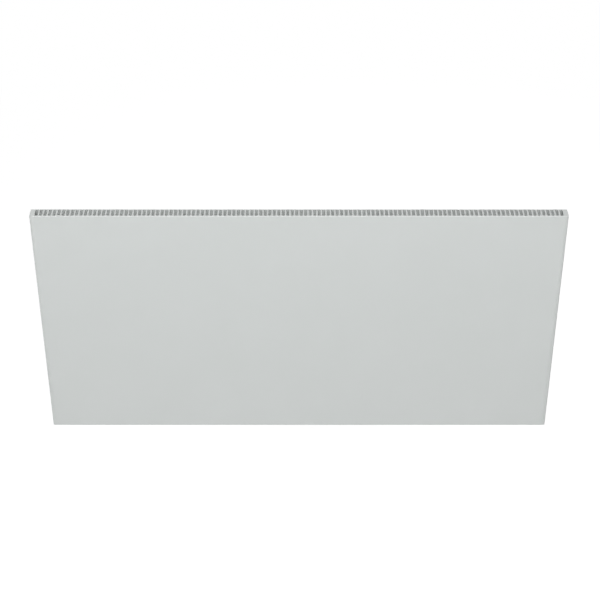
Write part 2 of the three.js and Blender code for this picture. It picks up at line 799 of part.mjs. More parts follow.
function hexagon(flats) {
  const radius = flats / Math.sqrt(3);
  const corners = Array.from({ length: 6 }, (_, index) => {
    const angle = index * Math.PI / 3;
    return new THREE.Vector2(radius * Math.cos(angle), radius * Math.sin(angle));
  });
  return new THREE.Shape(corners);
}

// The gland's body passes the box's underside between a nut inside and a dome nut below.
function cableGland() {
  const top = boxBottom - seat;
  const nutBottom = boxBottom + boxWall + seat;
  const domeTop = top - glandHexHeight - seat;
  const hexMiddle = top - glandHexHeight / 2;
  const bore = uprightBar(glandBoreRadius, domeTop - 2 * glandDomeHeight, nutBottom + glandThreadLength);
  const body = joined([
    uprightBar(glandThreadRadius, hexMiddle, top + glandThreadLength),
    extrudeUp(hexagon(glandFlats), top - glandHexHeight, glandHexHeight),
    uprightBar(glandNeckRadius, domeTop - glandNeckLength, hexMiddle),
  ]);
  const dome = turned([
    [0, -glandDomeHeight],
    [glandBoreRadius + glandMouthWall, -glandDomeHeight],
    [glandShoulderRadius, -glandShoulderDrop],
    [glandDomeRadius, 0],
    [0, 0],
  ]);
  const neckHole = roundBar(glandNeckRadius + clearance, -glandNeckLength - seat, seat, 0, 0, roundSides);
  const domeNut = solid(geometryOf(dome.subtract(neckHole)).rotateX(Math.PI / 2).translate(0, 0, domeTop));
  const lockNut = extrudeUp(hexagon(glandFlats), nutBottom, lockNutHeight)
    .subtract(uprightBar(glandThreadRadius + clearance, boxBottom, 0));
  return [
    piece('gland_body', body.subtract(bore), 'blackPlastic', glandX, boxMiddle),
    piece('gland_dome_nut', domeNut.subtract(bore), 'blackPlastic', glandX, boxMiddle),
    piece('gland_lock_nut', lockNut, 'blackPlastic', glandX, boxMiddle),
  ];
}

// The switch housing hangs in the underside by its bezel and is open below for the rocker.
function switchHousing() {
  const bezel = centredRect(bezelLength, bezelWidth, bezelCornerRadius);
  const window = centredRect(switchWindowLength, switchWindowWidth, switchWindowRadius);
  const bodyOutline = centredRect(switchBodyLength, switchBodyWidth, switchCornerRadius);
  const bezelBottom = bezelTop - bezelThickness;
  const bodyTop = bezelTop + switchBodyHeight;
  const half = bladeWidth / 2;
  const blades = switchBladePlaces().map((x) => {
    const outline = roundedRect(x - bladeSheet / 2, x + bladeSheet / 2, -half, half, switchBladeRadius);
    return extrudeUp(outline, bodyTop - bladeSheet, bladeLength + bladeSheet, 1);
  });
  const pivots = roundBar(trunnionRadius + clearance, -switchBodyWidth, switchBodyWidth, 0, pivotZ);
  const body = cut(joined([
    extrudeUp(bezel, bezelBottom, bezelThickness),
    extrudeUp(bodyOutline, bezelTop - bezelThickness / 2, switchBodyHeight + bezelThickness / 2, 1),
    ...blades,
  ]), [extrudeUp(window, bezelBottom - bezelThickness, bezelThickness + switchWindowDepth, 1), pivots]);
  return piece('switch_housing', body, 'blackPlastic', switchX, boxMiddle);
}

function switchBladePlaces() {
  return [-switchBladeSpacing / 2, switchBladeSpacing / 2];
}

// The rocker, drawn level around its pivot: a dished face below, skirts that follow
// circles around the pivot, and a stub on each side that turns in the housing.
function rocker() {
  const face = rockerPivotDepth + rockerProud;
  const faceEnd = Math.sqrt(rockerSkirtRadius ** 2 - face ** 2);
  const corner = Math.atan2(face, faceEnd);
  const outline = new THREE.Shape();
  outline.moveTo(0, rockerDish - face);
  outline.lineTo(faceEnd, -face);
  outline.absarc(0, 0, rockerSkirtRadius, -corner, rockerSkirtRise);
  outline.lineTo(rockerHeelLength / 2, rockerHeelRise);
  outline.lineTo(-rockerHeelLength / 2, rockerHeelRise);
  outline.absarc(0, 0, rockerSkirtRadius, Math.PI - rockerSkirtRise, Math.PI + corner);
  const width = switchWindowWidth - 2 * clearance;
  const stubReach = width / 2 + trunnionLength;
  const body = joined([
    extrudeBack(outline, -width / 2, width),
    roundBar(trunnionRadius, -stubReach, stubReach),
  ]);
  const mesh = piece('switch_rocker', body, 'blackPlastic', switchX, boxMiddle, pivotZ);
  mesh.rotation.y = rockerTilt;
  return mesh;
}

// A rubber bush that lines the hole through the rear panel and the box's floor.
function grommet() {
  const front = -grommetFlange - clearance;
  const back = boxFloor + clearance;
  const rim = grommetRadius + grommetOverhang;
  const ring = turned([
    [grommetBore, front],
    [rim, front],
    [rim, -clearance],
    [grommetRadius, -clearance],
    [grommetRadius, back],
    [rim, back],
    [rim, back + grommetFlange],
    [grommetBore, back + grommetFlange],
    [grommetBore, front],
  ]);
  return piece('lead_grommet', ring, 'rubber', grommetX, 0, grommetZ);
}

// The earth stud's head is inside the heater and its nut on the floor of the box.
function earthStud() {
  const stud = headedPin(studHeadRadius, nutHeight, studRadius, studLength);
  const turnedRound = solid(geometryOf(stud).rotateX(Math.PI));
  const nut = extrudeBack(hexagon(nutFlats), boxFloor + seat, nutHeight)
    .subtract(roundBar(studRadius + clearance, 0, wallGap));
  return [
    piece('earth_stud', turnedRound, 'zincPlate', earthX, 0, earthZ),
    piece('earth_nut', nut, 'brass', earthX, 0, earthZ),
  ];
}

// An insulated lead: a six-sided tube along a smooth curve through the chosen points.
function lead(name, finish, route, steps) {
  const points = route.map(([x, y, z]) => new THREE.Vector3(x, y, z));
  const curve = new THREE.CatmullRomCurve3(points, false, 'centripetal');
  const section = new THREE.Shape(Array.from({ length: leadSides }, (_, index) => {
    const angle = 2 * Math.PI * index / leadSides;
    return new THREE.Vector2(leadRadius * Math.cos(angle), leadRadius * Math.sin(angle));
  }));
  return piece(name, solid(new THREE.ExtrudeGeometry(section, { steps, extrudePath: curve })), finish);
}

// The leads inside the heater and the terminal box, in the heater's own frame.
function leads() {
  const { neutral, live } = tabPlaces();
  const tabY = trackBack + seat;
  const passX = boxX + grommetX;
  const passZ = boxZ + grommetZ;
  const offCentre = leadRadius + leadGap / 2;
  const behindInsulation = insulationBack + leadRadius + leadGap;
  const bladeEnd = cutoutX + bladeTip + seat;
  const leadY = boxMiddle;
  const [left, middle, right] = polePlaces().map((x) => boxX + x);
  const poleTop = boxZ + blockTop + seat;
  const poleBottom = boxZ + blockTop - blockHeight - seat;
  const switchBladeZ = boxZ + bezelTop + switchBodyHeight + bladeLength + seat;
  const [bladeLeft, bladeRight] = switchBladePlaces().map((x) => boxX + switchX + x);
  return [
    lead('neutral_lead', 'blueLead', [
      [neutral[0], tabY, neutral[1]],
      [neutral[0], behindInsulation, neutral[1]],
      [passX + offCentre, -4, passZ],
      [passX + offCentre, boxFloor, passZ],
      [passX + offCentre - 2, leadY - 2, passZ + 4],
      [boxX + 20, leadY, poleTop + 3],
      [boxX + 8, leadY, poleTop + 6.5],
      [left + 6, leadY, poleTop + 6.5],
      [left, leadY, poleTop + 4],
      [left, leadY, poleTop],
    ], 18),
    lead('cutout_lead', 'brownLead', [
      [live[0], tabY, live[1]],
      [live[0], behindInsulation, live[1]],
      [live[0] + 1, behindInsulation + 3, live[1] + 4],
      [live[0] - 3, bladeY, live[1] + 16],
      [bladeEnd + 12, bladeY, cutoutZ - bladeSpacing / 2 - 5],
      [bladeEnd + 5, bladeY, cutoutZ - bladeSpacing / 2],
      [bladeEnd, bladeY, cutoutZ - bladeSpacing / 2],
    ], 12),
    lead('live_lead', 'brownLead', [
      [bladeEnd, bladeY, cutoutZ + bladeSpacing / 2],
      [bladeEnd + 8, bladeY, cutoutZ + bladeSpacing / 2],
      [bladeEnd + 40, bladeY, cutoutZ - 6],
      [passX - offCentre - 3, bladeY, passZ + 14],
      [passX - offCentre, -3, passZ + 2],
      [passX - offCentre, boxFloor, passZ],
      [passX - offCentre + 1, leadY - 3, passZ - 3],
      [bladeRight, leadY, switchBladeZ + 5],
      [bladeRight, leadY, switchBladeZ],
    ], 26),
    lead('switch_lead', 'brownLead', [
      [bladeLeft, leadY, switchBladeZ],
      [bladeLeft, leadY, switchBladeZ + 5],
      [bladeLeft - 8, leadY, switchBladeZ + 16],
      [boxX + 2, leadY, poleTop],
      [right + 4, leadY, poleTop + 2.8],
      [right, leadY, poleTop + 1.5],
      [right, leadY, poleTop],
    ], 12),
    lead('earth_lead', 'earthLead', [
      [boxX + earthX - nutFlats / Math.sqrt(3) - seat - leadRadius, boxFloor + leadRadius + 1, boxZ + earthZ],
      [middle + 5, boxFloor + leadRadius + 3, boxZ + earthZ + 2],
      [middle, leadY, poleBottom - 5],
      [middle, leadY, poleBottom],
    ], 8),
  ];
}

function heater() {
  const group = new THREE.Group();
  const terminals = new THREE.Group();
  terminals.position.set(boxX, 0, boxZ);
  terminals.add(
    terminalBox(),
    ...terminalCover(),
    terminalBlock(),
    ...cableGland(),
    switchHousing(),
    rocker(),
    grommet(),
    ...earthStud(),
  );
  group.add(
    frontCasing(),
    rearPanel(),
    ...rearScrews(),
    ...hangers(),
    ...buffers(),
    ...heatingElement(),
    ...retainingBridges(),
    ...thermalCutout(),
    terminals,
    ...leads(),
  );
  group.position.set(0, -wallGap, heaterZ);
  return group;
}

const panelHeater = new THREE.Group();
panelHeater.add(wallRail(), heater());
panelHeater.updateMatrixWorld(true);

export default panelHeater;
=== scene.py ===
"""A slim infrared panel heater that hangs by two hooks on its wall rail.

Metres, +Z up. The wall is the plane y = 0, the radiant front faces -Y and x runs along the wall.
"""

from math import acos, ceil, cos, pi, radians, sin, sqrt, tan, tau

import bmesh
import bpy
from mathutils import Matrix, Vector


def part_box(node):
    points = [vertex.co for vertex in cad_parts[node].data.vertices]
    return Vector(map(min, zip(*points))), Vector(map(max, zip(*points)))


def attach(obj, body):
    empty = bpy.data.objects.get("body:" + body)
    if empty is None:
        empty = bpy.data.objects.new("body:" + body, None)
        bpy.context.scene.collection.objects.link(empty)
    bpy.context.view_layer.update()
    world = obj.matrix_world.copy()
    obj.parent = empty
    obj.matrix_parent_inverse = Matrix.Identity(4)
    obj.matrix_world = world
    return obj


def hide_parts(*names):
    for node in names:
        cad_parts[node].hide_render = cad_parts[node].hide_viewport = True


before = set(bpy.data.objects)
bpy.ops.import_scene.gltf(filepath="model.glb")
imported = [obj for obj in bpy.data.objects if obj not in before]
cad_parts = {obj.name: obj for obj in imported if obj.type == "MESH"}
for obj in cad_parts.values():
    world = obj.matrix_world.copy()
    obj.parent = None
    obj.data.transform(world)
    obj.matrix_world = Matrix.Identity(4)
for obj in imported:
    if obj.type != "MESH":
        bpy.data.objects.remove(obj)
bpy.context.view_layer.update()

MM = 0.001

# The photograph's view: straight on, looking down, through a long lens.
SENSOR = 36.0
FRAME_PIXELS = 600
FOCAL_PIXELS = 1548.4
LOOK_DOWN = radians(34.95)
TOP_EDGE_DEPTH = 3.4385
TOP_EDGE_RISE = 0.18612
CAMERA_RIGHT = 2.2 * MM

# Studio.
FLOOR_DROP = 1.15
FLOOR_SIZE = 60.0
FLOOR_CLEAR = 1.8
FLOOR_FADE = 4.2
FLOOR_WHITE = 0.82
FLOOR_GLOW = 0.6
ROOM_LIGHT = 0.2

# Folded casing.
CASING_SHEET = 1.0 * MM
CASING_FOLD = 1.5 * MM
SIDE_BEND = 2.0 * MM
SIDE_ROLL = 20.0 * MM
ROLL_ANGLE = radians(25)
TOP_CORNER = 1.5 * MM
BOTTOM_CORNER = 3.0 * MM
REAR_LIP = 22.0 * MM
LIP_CORNER = 2.0 * MM
SLOT_WIDTH = 6.6 * MM
SLOT_FROM_FRONT = 2.4 * MM
SLOT_FROM_BACK = 2.0 * MM
SLOT_FROM_SIDE = 15.0 * MM
TOP_SLOT_PITCH = 10.0 * MM
BOTTOM_SLOT_PITCH = 20.0 * MM
COAT_EDGE = 0.25 * MM

# Rear panel.
REAR_SHEET = 0.8 * MM
REAR_CORNER = 6.0 * MM
BEAD_COUNT = 4
BEAD_REACH = 375.0 * MM
BEAD_LENGTH = 360.0 * MM
BEAD_WIDTH = 16.0 * MM
BEAD_HEIGHT = 1.5 * MM
BEAD_SHOULDER = 2.4 * MM
BEAD_DROP = 20.0 * MM
BEAD_HOLLOW = 0.6 * REAR_SHEET

# Rail and hooks.
RAIL_SHEET = 2.0 * MM
RAIL_SHELF = 20.0 * MM
RAIL_HOLE_COUNT = 4
RAIL_HOLE_REACH = 300.0 * MM
RAIL_HOLE_WIDTH = 6.5 * MM
RAIL_HOLE_LENGTH = 14.0 * MM
HOOK_SHEET = 1.5 * MM
HOOK_DROP = 10.7 * MM
SHEET_BEND = 1.0 * MM
RAIL_EDGE = 0.2 * MM

# Fasteners.
HEAD_HEIGHT = 2.4 * MM
HEAD_RIM = 0.9 * MM
HEAD_NECK = 0.2 * MM
HEAD_FLAT = 0.45
SHANK_RADIUS = 1.9 * MM
THREAD_CORE = 1.45 * MM
THREAD_PITCH = 1.3 * MM
THREAD_POINT = 2.4 * MM
RECESS_REACH = 2.1 * MM
RECESS_WIDTH = 0.9 * MM
RECESS_DEPTH = 1.5 * MM
RECESS_TAPER = 0.45
RECESS_FLARE = 1.1
RIVET_RADIUS = 1.85 * MM
RIVET_HEAD_HEIGHT = 1.4 * MM
RIVET_RIM = 0.35 * MM
RIVET_FLAT = 0.42
RIVET_TAIL = 0.3 * MM
MANDREL_RADIUS = 0.95 * MM
MANDREL_LIP = 0.25 * MM
MANDREL_EDGE = 0.15 * MM
MANDREL_SUNK = 0.5 * MM
PIN_HOLE = 2.2 * MM

# Rubber buffers.
BUFFER_TIP = 13.0 * MM
BUFFER_CUP = 6.0 * MM
BUFFER_FLOOR = 5.0 * MM
BUFFER_ROUND = 1.0 * MM
BUFFER_EDGE = 0.5 * MM

# Play between pieces that nearly touch, and between those that are clamped.
PLAY = 0.3 * MM
SEAT_GAP = 0.1 * MM

# Terminal box, gland and switch.
BOX_WALL = 2.0 * MM
BOX_CORNER = 5.0 * MM
BOSS_RADIUS = 4.0 * MM
COVER_RECESS = 1.6 * MM
MOULD_EDGE = 0.4 * MM
GROMMET_BORE = 4.2 * MM
GROMMET_FLANGE = 1.2 * MM
GROMMET_LIP = 2.0 * MM
GROMMET_MOUTH_ROUND = 0.4 * MM
GROMMET_RIM_ROUND = 0.5 * MM
GROMMET_INNER_ROUND = 0.3 * MM
GLAND_THREAD = 6.0 * MM
GLAND_CORE = 5.3 * MM
GLAND_FLATS = 15.0 * MM
GLAND_NECK_LENGTH = 4.5 * MM
GLAND_BORE = 3.3 * MM
GLAND_NECK = 5.0 * MM
GLAND_HEX = 5.0 * MM
GLAND_PITCH = 1.5 * MM
DOME_RIBS = 12
DOME_RIB_HEIGHT = 0.35 * MM
NUT_SLOPE = 0.6
SWITCH_BODY_LENGTH = 19.4 * MM
SWITCH_BODY_WIDTH = 13.0 * MM
SWITCH_WINDOW_LENGTH = 17.8 * MM
SWITCH_WINDOW_WIDTH = 11.0 * MM
SWITCH_WINDOW_DEPTH = 12.0 * MM
SWITCH_BODY_CORNER = 0.8 * MM
SWITCH_WINDOW_CORNER = 0.5 * MM
SWITCH_EDGE = 0.3 * MM
BEZEL_THICKNESS = 1.6 * MM
BEZEL_CORNER = 1.5 * MM
BLADE_SHEET = 0.8 * MM
BLADE_WIDTH = 4.8 * MM
BLADE_LENGTH = 8.0 * MM
BLADE_SPACING = 10.0 * MM
BLADE_TIP_ROUND = 1.2 * MM
BLADE_EYE = 0.85 * MM
BLADE_EYE_PLACE = 2.6 * MM
BLADE_EDGE = 0.1 * MM
PIVOT_DEPTH = 3.2 * MM
ROCKER_PROUD = 1.4 * MM
ROCKER_DISH = 0.7 * MM
ROCKER_SKIRT = 8.6 * MM
ROCKER_RISE = 0.15
ROCKER_TILT = radians(8)
ROCKER_EDGE = 0.25 * MM
HUB_REACH = 3.0 * MM
HUB_RISE = 4.5 * MM
TRUNNION_RADIUS = 1.2 * MM
TRUNNION_LENGTH = 0.7 * MM
MARK_PLACE = 4.2 * MM
MARK_HEIGHT = 0.12 * MM
MARK_PROUD = 0.04 * MM
RING_OUTER = 1.45 * MM
RING_INNER = 1.05 * MM
BAR_LENGTH = 3.0 * MM
BAR_WIDTH = 0.5 * MM
BAR_CORNER = 0.2 * MM

# Inside: terminal block, earth stud, cut-out and bridges.
BLOCK_POLES = 3
BLOCK_BASE = 6.0 * MM
BLOCK_CORNER = 1.0 * MM
BLOCK_EDGE = 0.25 * MM
POLE_GAP = 2.9 * MM
POLE_INSET = 2.0 * MM
POLE_WELL = 2.0 * MM
POLE_WELL_DEPTH = 3.6 * MM
WAY_RADIUS = 1.6 * MM
WAY_RISE = 2.2 * MM
CLAMP_RADIUS = 1.8 * MM
CLAMP_SUNK = 1.2 * MM
CLAMP_SLOT_WIDTH = 0.6 * MM
CLAMP_SLOT_LENGTH = 6.0 * MM
CLAMP_SLOT_DEPTH = 0.7 * MM
STUD_RADIUS = 2.0 * MM
STUD_CORE = 1.6 * MM
STUD_HEAD = 3.2 * MM
STUD_PITCH = 0.7 * MM
STUD_POINT = 0.8 * MM
CUP_ROUND = 0.6 * MM
CUTOUT_BODY = 7.5 * MM
CUTOUT_BLADE_SPACING = 9.0 * MM
CUTOUT_EDGE = 0.15 * MM
BRIDGE_SHEET = 1.0 * MM
BRIDGE_FOOT = 20.0 * MM
BRIDGE_EDGE = 0.15 * MM
LEAD_RADIUS = 1.3 * MM
RING_RADIUS = 3.9 * MM
RING_SHEET = 0.8 * MM
RING_TONGUE = 3.0 * MM
RING_BARREL_LENGTH = 3.0 * MM
LEAD_SIDES = 6
LEAD_SWELL = 0.2 * MM
SLEEVE_WIDTH = 6.0 * MM
SLEEVE_THICKNESS = 2.4 * MM
SLEEVE_LENGTH = 5.6 * MM
SLEEVE_MOUTH = 0.6 * MM
BARREL_RADIUS = 1.8 * MM
BARREL_BORE = 1.45 * MM
BARREL_LENGTH = 4.2 * MM

# How finely curves are drawn.
FOLD_STEPS = 6
ROUND_STEPS = 48
SLOT_STEPS = 8
EDGE_STEPS = 3
BOX_STEPS = 10
ROCKER_STEPS = 12
THREAD_RINGS = 8
RIDGE_SHARPNESS = 3.2
CREASE = radians(32)
SLIVER = 0.005 * MM
HAIR = 0.01 * MM
BEAD_STEPS = 8
BEAD_END_STEPS = 16


# --- Finishes -----------------------------------------------------------------------------------


class Value:
    """A number that varies over a surface. Sums and products of it add Math nodes."""

    def __init__(self, finish, socket):
        self.finish = finish
        self.socket = socket

    def maths(self, operation, *numbers):
        return self.finish.node("ShaderNodeMath", {"operation": operation}, dict(enumerate(numbers)))

    def __add__(self, other):
        return self.maths("ADD", self, other)

    def __mul__(self, other):
        return self.maths("MULTIPLY", self, other)

    def __sub__(self, other):
        return self.maths("SUBTRACT", self, other)

    def __rsub__(self, other):
        return self.maths("SUBTRACT", other, self)

    __radd__ = __add__
    __rmul__ = __mul__


class Finish:
    """One procedural finish, drawn in the object's own coordinates in metres."""

    def __init__(self, name, **constants):
        self.material = bpy.data.materials.new(name)
        self.material.use_nodes = True
        self.tree = self.material.node_tree
        self.surface = self.tree.nodes["Principled BSDF"]
        for socket, number in constants.items():
            self.surface.inputs[socket.replace("_", " ")].default_value = number
        self.place = self.node("ShaderNodeTexCoord", output="Object")

    def node(self, kind, settings=None, inputs=None, output=0):
        """Adds a node: its settings first, then the numbers or links of its sockets."""
        made = self.tree.nodes.new(kind)
        for name, setting in (settings or {}).items():
            setattr(made, name, setting)
        for socket, given in (inputs or {}).items():
            self.feed(made.inputs[socket], given)
        return Value(self, made.outputs[output])

    def feed(self, socket, given):
        if isinstance(given, Value):
            self.tree.links.new(given.socket, socket)
        else:
            socket.default_value = given

    def set(self, socket, given):
        self.feed(self.surface.inputs[socket], given)

    def stretched(self, x=1.0, y=1.0, z=1.0):
        """The coordinates with each axis multiplied, so that a pattern is drawn out along the others."""
        inputs = {"Vector": self.place, "Scale": (x, y, z)}
        return self.node("ShaderNodeMapping", inputs=inputs)

    def noise(self, size, detail=2.0, at=None, output=0):
        inputs = {"Vector": at or self.place, "Scale": 1 / size, "Detail": detail}
        return self.node("ShaderNodeTexNoise", inputs=inputs, output=output)

    def curls(self, size):
        """Thin curling threads: 1 on a thread and 0 between them."""
        noise = self.noise(size, detail=1.0)
        return 1 - self.ramp(noise.maths("ABSOLUTE", noise - 0.5), 0.0, 0.05)

    def cells(self, size, feature="F1", output="Distance", at=None):
        inputs = {"Vector": at or self.place, "Scale": 1 / size}
        return self.node("ShaderNodeTexVoronoi", {"feature": feature}, inputs, output)

    def ramp(self, value, low, high):
        """0 up to low and 1 from high, with a smooth rise between them."""
        inputs = {"Value": value, "From Min": low, "From Max": high}
        return self.node("ShaderNodeMapRange", {"interpolation_type": "SMOOTHSTEP"}, inputs)

    def blend(self, share, first, second):
        """A colour between two others, each a (red, green, blue) or another blend."""
        first, second = (given if isinstance(given, Value) else (*given, 1.0) for given in (first, second))
        inputs = {0: share, 6: first, 7: second}
        return self.node("ShaderNodeMix", {"data_type": "RGBA"}, inputs, output=2)

    def done(self, colour, roughness, height, depth):
        """The material with that colour and roughness, raised by depth where height is 1."""
        self.set("Base Color", colour)
        self.set("Roughness", roughness)
        self.set("Normal", self.node("ShaderNodeBump", inputs={"Distance": depth, "Height": height}))
        return self.material


def powder_coat(name):
    """Satin powder coat: a fine orange peel and a slight drift of tone and gloss."""
    coat = Finish(name)
    peel = coat.noise(1.4 * MM, detail=1.0)
    dust = coat.noise(0.35 * MM, detail=1.0)
    drift = coat.noise(140 * MM, detail=1.0)
    tone = 0.75 * drift + 0.25 * dust
    colour = coat.blend(tone, (0.592, 0.613, 0.602), (0.618, 0.635, 0.628))
    return coat.done(colour, 0.38 + 0.12 * peel + 0.05 * drift, peel + 0.2 * dust, 0.045 * MM)


def galvanised(name):
    """Zinc-dipped sheet: small frosted crystals of slightly differing tone, and fine rolling lines."""
    zinc = Finish(name, Metallic=0.85)
    warp = zinc.noise(4 * MM, output="Color")
    reach = (1.8 * MM, 1.8 * MM, 1.8 * MM)
    bent = zinc.node(
        "ShaderNodeVectorMath", {"operation": "MULTIPLY_ADD"}, {0: warp, 1: reach, 2: zinc.place}
    )
    crystal = zinc.cells(6 * MM, output="Color", at=bent)
    tone = zinc.node("ShaderNodeSeparateColor", inputs={0: crystal})
    seam = zinc.ramp(zinc.cells(6 * MM, "DISTANCE_TO_EDGE", at=bent), 0.0, 0.08)
    frost = zinc.noise(0.9 * MM, detail=3.0)
    cloud = zinc.noise(160 * MM)
    lines = zinc.noise(0.5 * MM, at=zinc.stretched(x=0.02))
    look = 0.38 * tone + 0.2 * frost + 0.2 * cloud + 0.15 * lines + 0.07 * seam
    colour = zinc.blend(look, (0.33, 0.35, 0.36), (0.51, 0.53, 0.54))
    height = 0.5 * lines + 0.3 * seam + 0.2 * frost
    return zinc.done(colour, 0.37 + 0.12 * tone + 0.1 * frost, height, 0.01 * MM)


def metal(name, dark, light, metallic, marks, cloud, gloss, depth, drawn, detail=2.0):
    """Worked metal: fine marks, drawn out into lines where it was rolled, and a cloudy tone."""
    skin = Finish(name, Metallic=metallic)
    lines = skin.noise(marks, at=skin.stretched(*drawn))
    tone = skin.noise(cloud, detail)
    least, by_lines, by_tone = gloss
    return skin.done(skin.blend(tone, dark, light), least + by_lines * lines + by_tone * tone, lines, depth)


def mica(name):
    """Pressed mica: overlapping flakes with a pearly glint between darker seams."""
    sheet = Finish(name, Coat_Roughness=0.25)
    flake = sheet.cells(2.4 * MM, output="Color")
    tone = sheet.node("ShaderNodeSeparateColor", inputs={0: flake})
    seam = sheet.ramp(sheet.cells(2.4 * MM, "DISTANCE_TO_EDGE"), 0.0, 0.12)
    cloud = sheet.noise(30 * MM, detail=3.0)
    look = 0.5 * tone + 0.35 * cloud + 0.15 * seam
    sheet.set("Coat Weight", 0.5 * tone)
    colour = sheet.blend(look, (0.36, 0.29, 0.15), (0.62, 0.54, 0.34))
    return sheet.done(colour, 0.62 - 0.25 * tone, 0.7 * tone + 0.3 * seam, 0.03 * MM)


def mineral_wool(name):
    """Bonded mineral wool: curled fibres over soft lumps, with a few darker grains of binder."""
    wool = Finish(name, Sheen_Weight=0.3)
    long_fibres = wool.curls(6 * MM)
    short_fibres = wool.curls(2.6 * MM)
    fibres = long_fibres.maths("MAXIMUM", long_fibres, 0.7 * short_fibres)
    lumps = wool.noise(16 * MM, detail=4.0)
    grains = wool.ramp(wool.noise(2.4 * MM, detail=1.0), 0.66, 0.74)
    body = wool.blend(0.5 * fibres + 0.5 * lumps, (0.46, 0.4, 0.22), (0.84, 0.78, 0.54))
    colour = wool.blend(0.35 * grains, body, (0.3, 0.22, 0.1))
    return wool.done(colour, 0.95, 0.6 * fibres + 0.4 * lumps, 0.5 * MM)


def moulded(name, dark, light, roughness, depth=0.02 * MM):
    """A moulded plastic: a fine spark-eroded grain and a slight drift of tone."""
    plastic = Finish(name)
    texture = plastic.noise(0.5 * MM)
    drift = plastic.noise(25 * MM, detail=1.0)
    colour = plastic.blend(0.6 * drift + 0.4 * texture, dark, light)
    return plastic.done(colour, roughness + 0.14 * texture, texture, depth)


def rubber(name):
    """Matte rubber with a fine bloom that greys it in places."""
    gum = Finish(name)
    bloom = gum.noise(6 * MM, detail=4.0)
    pores = gum.noise(0.4 * MM)
    colour = gum.blend(bloom, (0.014, 0.015, 0.016), (0.04, 0.041, 0.043))
    return gum.done(colour, 0.72 + 0.18 * pores, pores, 0.04 * MM)


def insulation(name, first, second, striped=False):
    """Smooth PVC, a little uneven in tone, or with a stripe of the second colour down each side."""
    skin = Finish(name)
    waves = share = skin.noise(1.6 * MM)
    if striped:
        facing = skin.node("ShaderNodeTexCoord", output="Normal")
        sideways = skin.node("ShaderNodeSeparateXYZ", inputs={0: facing}, output="Y")
        share = 1 - skin.ramp(sideways.maths("ABSOLUTE", sideways), 0.68, 0.76)
    return skin.done(skin.blend(share, first, second), 0.34 + 0.16 * waves, waves, 0.03 * MM)


# How a metal's marks are drawn out into lines. Then, for each metal: its darker and lighter colour,
# how metallic it is, the sizes of its marks and clouds, its roughness (least, and what the marks and
# the clouds add) and the depth of the marks.
EVEN = (1, 1, 1)
ALONG_X = (0.02, 1, 1)
ALONG_Z = (1, 1, 0.02)
ZINC = ((0.52, 0.55, 0.59), (0.64, 0.64, 0.62), 0.95, 0.25 * MM, 2.5 * MM, (0.2, 0.14, 0.08), 0.006 * MM)
FOIL = ((0.25, 0.23, 0.22), (0.36, 0.31, 0.26), 0.92, 0.3 * MM, 60 * MM, (0.28, 0.16, 0.0), 0.008 * MM)
BRIGHT = ((0.62, 0.63, 0.64), (0.74, 0.75, 0.76), 0.97, 0.25 * MM, 18 * MM, (0.18, 0.14, 0.06), 0.006 * MM)
YELLOW = ((0.42, 0.27, 0.08), (0.62, 0.44, 0.16), 0.96, 0.2 * MM, 3 * MM, (0.22, 0.2, 0.0), 0.006 * MM)

# What makes each finish, and what the maker is given after the name.
FINISHES = {
    "powder_coat": (powder_coat,),
    "galvanised": (galvanised,),
    "zinc_plate": (metal, *ZINC, EVEN),
    "resistance_foil": (metal, *FOIL, ALONG_Z),
    "aluminium": (metal, *BRIGHT, ALONG_X),
    "brass": (metal, *YELLOW, EVEN, 3.0),
    "mica": (mica,),
    "mineral_wool": (mineral_wool,),
    "rubber": (rubber,),
    "grey_plastic": (moulded, (0.29, 0.32, 0.33), (0.36, 0.39, 0.4), 0.42),
    "white_plastic": (moulded, (0.72, 0.72, 0.69), (0.8, 0.8, 0.78), 0.34, 0.01 * MM),
    "black_plastic": (moulded, (0.008, 0.008, 0.009), (0.018, 0.018, 0.02), 0.32),
    "brown_lead": (insulation, (0.11, 0.045, 0.02), (0.17, 0.075, 0.035)),
    "blue_lead": (insulation, (0.02, 0.08, 0.28), (0.04, 0.13, 0.38)),
    "earth_lead": (insulation, (0.03, 0.22, 0.04), (0.72, 0.6, 0.03), True),
}


# --- Shapes -------------------------------------------------------------------------------------


def upward(u, v, w):
    return Vector((u, v, w))


def downward(u, v, w):
    return Vector((u, v, -w))


def backward(u, v, w):
    return Vector((u, w, v))


def forward(u, v, w):
    return Vector((u, -w, v))


def sideways(u, v, w):
    return Vector((w, u, v))


def arc(u, v, radius, start, end, steps):
    """Points on a round stretch of an outline, both its ends included."""
    angles = [start + (end - start) * step / steps for step in range(steps + 1)]
    return [Vector((u + radius * cos(angle), v + radius * sin(angle))) for angle in angles]


def circle(radius, steps=ROUND_STEPS, u=0.0, v=0.0):
    return arc(u, v, radius, 0.0, tau, steps)[:-1]


def slot_outline(u, v, width, length, steps=SLOT_STEPS):
    """A slot with round ends, length overall, that runs along v."""
    radius = width / 2
    reach = length / 2 - radius
    return arc(u, v + reach, radius, 0.0, pi, steps) + arc(u, v - reach, radius, pi, tau, steps)


def rounded(corners, steps=FOLD_STEPS):
    """A closed outline from corners (u, v) that stay sharp and (u, v, radius) that are rounded."""
    outline = []
    for index, (u, v, *radius) in enumerate(corners):
        corner = Vector((u, v))
        if not radius or radius[0] <= 0:
            outline.append(corner)
            continue
        before = (Vector(corners[index - 1][:2]) - corner).normalized()
        after = (Vector(corners[(index + 1) % len(corners)][:2]) - corner).normalized()
        half = acos(max(-1.0, min(1.0, before.dot(after)))) / 2
        centre = corner + (before + after).normalized() * radius[0] / sin(half)
        start = corner + before * radius[0] / tan(half) - centre
        end = corner + after * radius[0] / tan(half) - centre
        turn = start.angle_signed(end)
        for step in range(steps + 1):
            outline.append(centre + Matrix.Rotation(-turn * step / steps, 2) @ start)
    return outline


